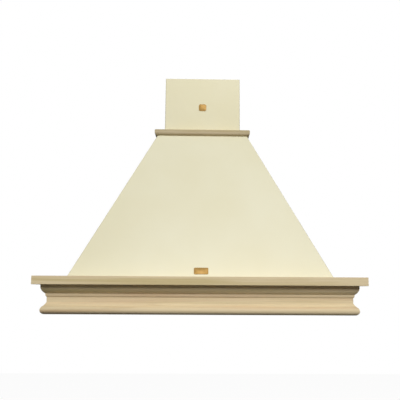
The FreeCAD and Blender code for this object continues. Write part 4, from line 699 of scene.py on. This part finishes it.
def expanded_face(side):
    """The expanded-metal face of a filter's mesh pack: zigzag strands that meet in diamonds."""
    node = "filter_mesh_" + side
    low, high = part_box(node)
    left, right = low[0] + FILTER_BORDER, high[0] - FILTER_BORDER
    front, rear = low[1] + FILTER_BORDER, high[1] - FILTER_BORDER
    steps = round((right - left) / (DIAMOND_LENGTH / 2))
    rows = round((rear - front) / DIAMOND_HEIGHT)
    bm = bmesh.new()
    section = [(a * STRAND_WIDTH / 2, rise) for a, rise in (
        (-1, STRAND_LOW), (1, STRAND_LOW), (1, STRAND_HIGH), (-1, STRAND_HIGH))]
    for row in range(rows):
        middle = front + (rear - front) * (row + 0.5) / rows
        last = None
        for step in range(steps + 1):
            x = left + (right - left) * step / steps
            swing = (DIAMOND_HEIGHT - STRAND_WIDTH) / 2 * (-1) ** (step + row)
            ring = [bm.verts.new((x, middle + swing + y, low[2] + z)) for y, z in section]
            if last:
                bridge(bm, last, ring)
            else:
                bm.faces.new(ring)
            last = ring
        bm.faces.new(last)
    face = finished("filter_face_" + side, bm, SLOTS["filter_aluminium"])
    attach(face, body_of(node))


def ribbed_lens(side):
    """A lamp's lens with rounded prisms moulded across its lower face."""
    node = "lamp_lens_" + side
    low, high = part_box(node)
    count = round((high[0] - low[0]) / RIB_PITCH) * RIB_STEPS
    bm = bmesh.new()
    last = None
    for i in range(count + 1):
        x = low[0] + (high[0] - low[0]) * i / count
        z = low[2] + RIB_DEPTH * (0.5 - 0.5 * math.cos(math.tau * i / RIB_STEPS))
        section = ((low[1], z), (high[1], z), (high[1], high[2]), (low[1], high[2]))
        ring = [bm.verts.new((x, y, height)) for y, height in section]
        if last:
            bridge(bm, last, ring)
        else:
            bm.faces.new(ring)
        last = ring
    bm.faces.new(last)
    stand_for(finished(node + "_ribbed", bm, SLOTS["lamp_lens"]), node)


def candle_bulb(side):
    """A candle bulb: a screw cap with its thread, and a drawn glass."""
    node = "lamp_bulb_" + side
    low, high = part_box(node)
    outward = 1 if side == "right" else -1
    end = low[0] if outward > 0 else high[0]
    start = Vector((end, (low[1] + high[1]) / 2, (low[2] + high[2]) / 2))
    thread = []
    for i in range(THREAD_TURNS):
        thread.append((THREAD_ROOT, THREAD_START + THREAD_PITCH * i))
        thread.append((THREAD_CREST, THREAD_START + THREAD_PITCH * (i + 0.5)))
    profile = [(r * MM, along * MM) for r, along in (*BULB_CAP, *thread, *BULB_GLASS)]
    bm = bmesh.new()
    lathe(bm, profile, pointing(start, Vector((outward, 0, 0))), HEAD_SEGMENTS)
    joint = abs(start.x) + BULB_JOINT * MM
    for face in bm.faces:
        face.material_index = 1 if abs(face.calc_center_median().x) < joint else 0
    stand_for(finished(node + "_candle", bm, SLOTS["lamp_glass"], SLOTS["screw_steel"]), node)


def slider_grip(node):
    """Three rounded ribs across the underside of a slider's cap."""
    low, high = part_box(node)
    middle = (low[0] + high[0]) / 2
    length = high[1] - low[1] - 2 * GRIP_MARGIN
    quarter = [math.pi / 2 * i / ROUND_STEPS for i in range(ROUND_STEPS + 1)]
    start = [(GRIP_RADIUS * math.sin(a), GRIP_RADIUS * (1 - math.cos(a))) for a in quarter]
    profile = start + [(radius, length - along) for radius, along in reversed(start)]
    bm = bmesh.new()
    for i in range(GRIP_RIBS):
        x = middle + GRIP_PITCH * (i - (GRIP_RIBS - 1) / 2)
        turn = pointing(Vector((x, low[1] + GRIP_MARGIN, low[2])), Vector((0, 1, 0)))
        lathe(bm, profile, turn, SMALL_SEGMENTS)
    grip = finished(node + "_grip", bm, SLOTS["slider_plastic"])
    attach(grip, body_of(node))


def make_details():
    for node in SCREW_NODES:
        fasteners(node, PAN_HEAD, recessed=True)
    fasteners("rivets", RIVET_HEAD, recessed=False)
    for node in PLATE_FORMS:
        brass_plate(node)
    for side in SIDES:
        expanded_face(side)
        ribbed_lens(side)
        candle_bulb(side)
    for node in ("speed_slider", "light_slider"):
        slider_grip(node)


# ---------------------------------------------------------------- light and camera


def make_camera():
    data = bpy.data.cameras.new("camera")
    data.sensor_width = SENSOR_MM
    data.lens = FOCAL_PIXELS * SENSOR_MM / PHOTO_SIZE
    data.shift_x = -AXIS_RIGHT_PIXELS / PHOTO_SIZE
    data.shift_y = AXIS_DOWN_PIXELS / PHOTO_SIZE
    camera = bpy.data.objects.new("camera", data)
    bpy.context.scene.collection.objects.link(camera)
    turn = Matrix.Rotation(math.radians(CAMERA_YAW), 4, "Z")
    tilt = Matrix.Rotation(math.radians(90 + CAMERA_PITCH), 4, "X")
    roll = Matrix.Rotation(math.radians(CAMERA_ROLL), 4, "Z")
    camera.matrix_world = Matrix.Translation(CAMERA_PLACE) @ turn @ tilt @ roll
    bpy.context.scene.camera = camera


def make_key_light():
    turn, rise = math.radians(KEY_AZIMUTH), math.radians(KEY_ELEVATION)
    level = math.cos(rise)
    towards = Vector((math.sin(turn) * level, -math.cos(turn) * level, math.sin(rise)))
    data = bpy.data.lights.new("key", "AREA")
    data.shape = "RECTANGLE"
    data.size, data.size_y = KEY_SIZE
    data.energy = KEY_POWER
    light = bpy.data.objects.new("key", data)
    bpy.context.scene.collection.objects.link(light)
    light.location = Vector(KEY_AIM) + towards * KEY_DISTANCE
    light.rotation_euler = (Vector(KEY_AIM) - light.location).to_track_quat("-Z", "Y").to_euler()


def seen_factor(tree):
    """1 for the camera's own rays and for those off gloss and through glass, 0 for the rest."""
    path = tree.nodes.new("ShaderNodeLightPath")
    seen = path.outputs["Is Camera Ray"]
    for other in ("Is Glossy Ray", "Is Transmission Ray"):
        both = tree.nodes.new("ShaderNodeMath")
        both.operation = "MAXIMUM"
        tree.links.new(seen, both.inputs[0])
        tree.links.new(path.outputs[other], both.inputs[1])
        seen = both.outputs["Value"]
    return seen


def white_where_seen(tree, lit):
    """White where it is seen, and the lit colour for everything else."""
    mix = tree.nodes.new("ShaderNodeMix")
    mix.data_type = "RGBA"
    tree.links.new(seen_factor(tree), mix.inputs["Factor"])
    mix.inputs["A"].default_value = lit
    mix.inputs["B"].default_value = (1, 1, 1, 1)
    return mix.outputs["Result"]


def make_world():
    world = bpy.data.worlds.new("studio")
    world.use_nodes = True
    bpy.context.scene.world = world
    background = world.node_tree.nodes["Background"]
    colour = white_where_seen(world.node_tree, (WORLD_LEVEL, WORLD_LEVEL, WORLD_LEVEL, 1))
    world.node_tree.links.new(colour, background.inputs["Color"])


def make_floor():
    mesh = bpy.data.meshes.new("floor")
    signs = ((-1, -1), (1, -1), (1, 1), (-1, 1))
    spots = [(x * FLOOR_REACH, y * FLOOR_REACH, FLOOR_HEIGHT) for x, y in signs]
    mesh.from_pydata(spots, [], [(0, 1, 2, 3)])
    floor = bpy.data.objects.new("floor", mesh)
    bpy.context.scene.collection.objects.link(floor)
    material = bpy.data.materials.new("floor")
    material.use_nodes = True
    tree = material.node_tree
    shader = tree.nodes["Principled BSDF"]
    shader.inputs["Base Color"].default_value = FLOOR_BOUNCE
    shader.inputs["Roughness"].default_value = FLOOR_ROUGHNESS
    lit = tree.nodes.new("ShaderNodeBsdfDiffuse")
    lit.inputs["Color"].default_value = FLOOR_SEEN
    white = tree.nodes.new("ShaderNodeEmission")
    white.inputs["Strength"].default_value = FLOOR_GLOW
    pale = tree.nodes.new("ShaderNodeAddShader")
    tree.links.new(lit.outputs["BSDF"], pale.inputs[0])
    tree.links.new(white.outputs["Emission"], pale.inputs[1])
    mix = tree.nodes.new("ShaderNodeMixShader")
    tree.links.new(seen_factor(tree), mix.inputs["Fac"])
    tree.links.new(shader.outputs["BSDF"], mix.inputs[1])
    tree.links.new(pale.outputs["Shader"], mix.inputs[2])
    tree.links.new(mix.outputs["Shader"], tree.nodes["Material Output"].inputs["Surface"])
    mesh.materials.append(material)


paint_nodes()
for node, width in EASED.items():
    ease_edges(NODES[node], width)
make_details()
make_camera()
make_key_light()
make_world()
make_floor()
bpy.context.scene.view_settings.view_transform = "Standard"
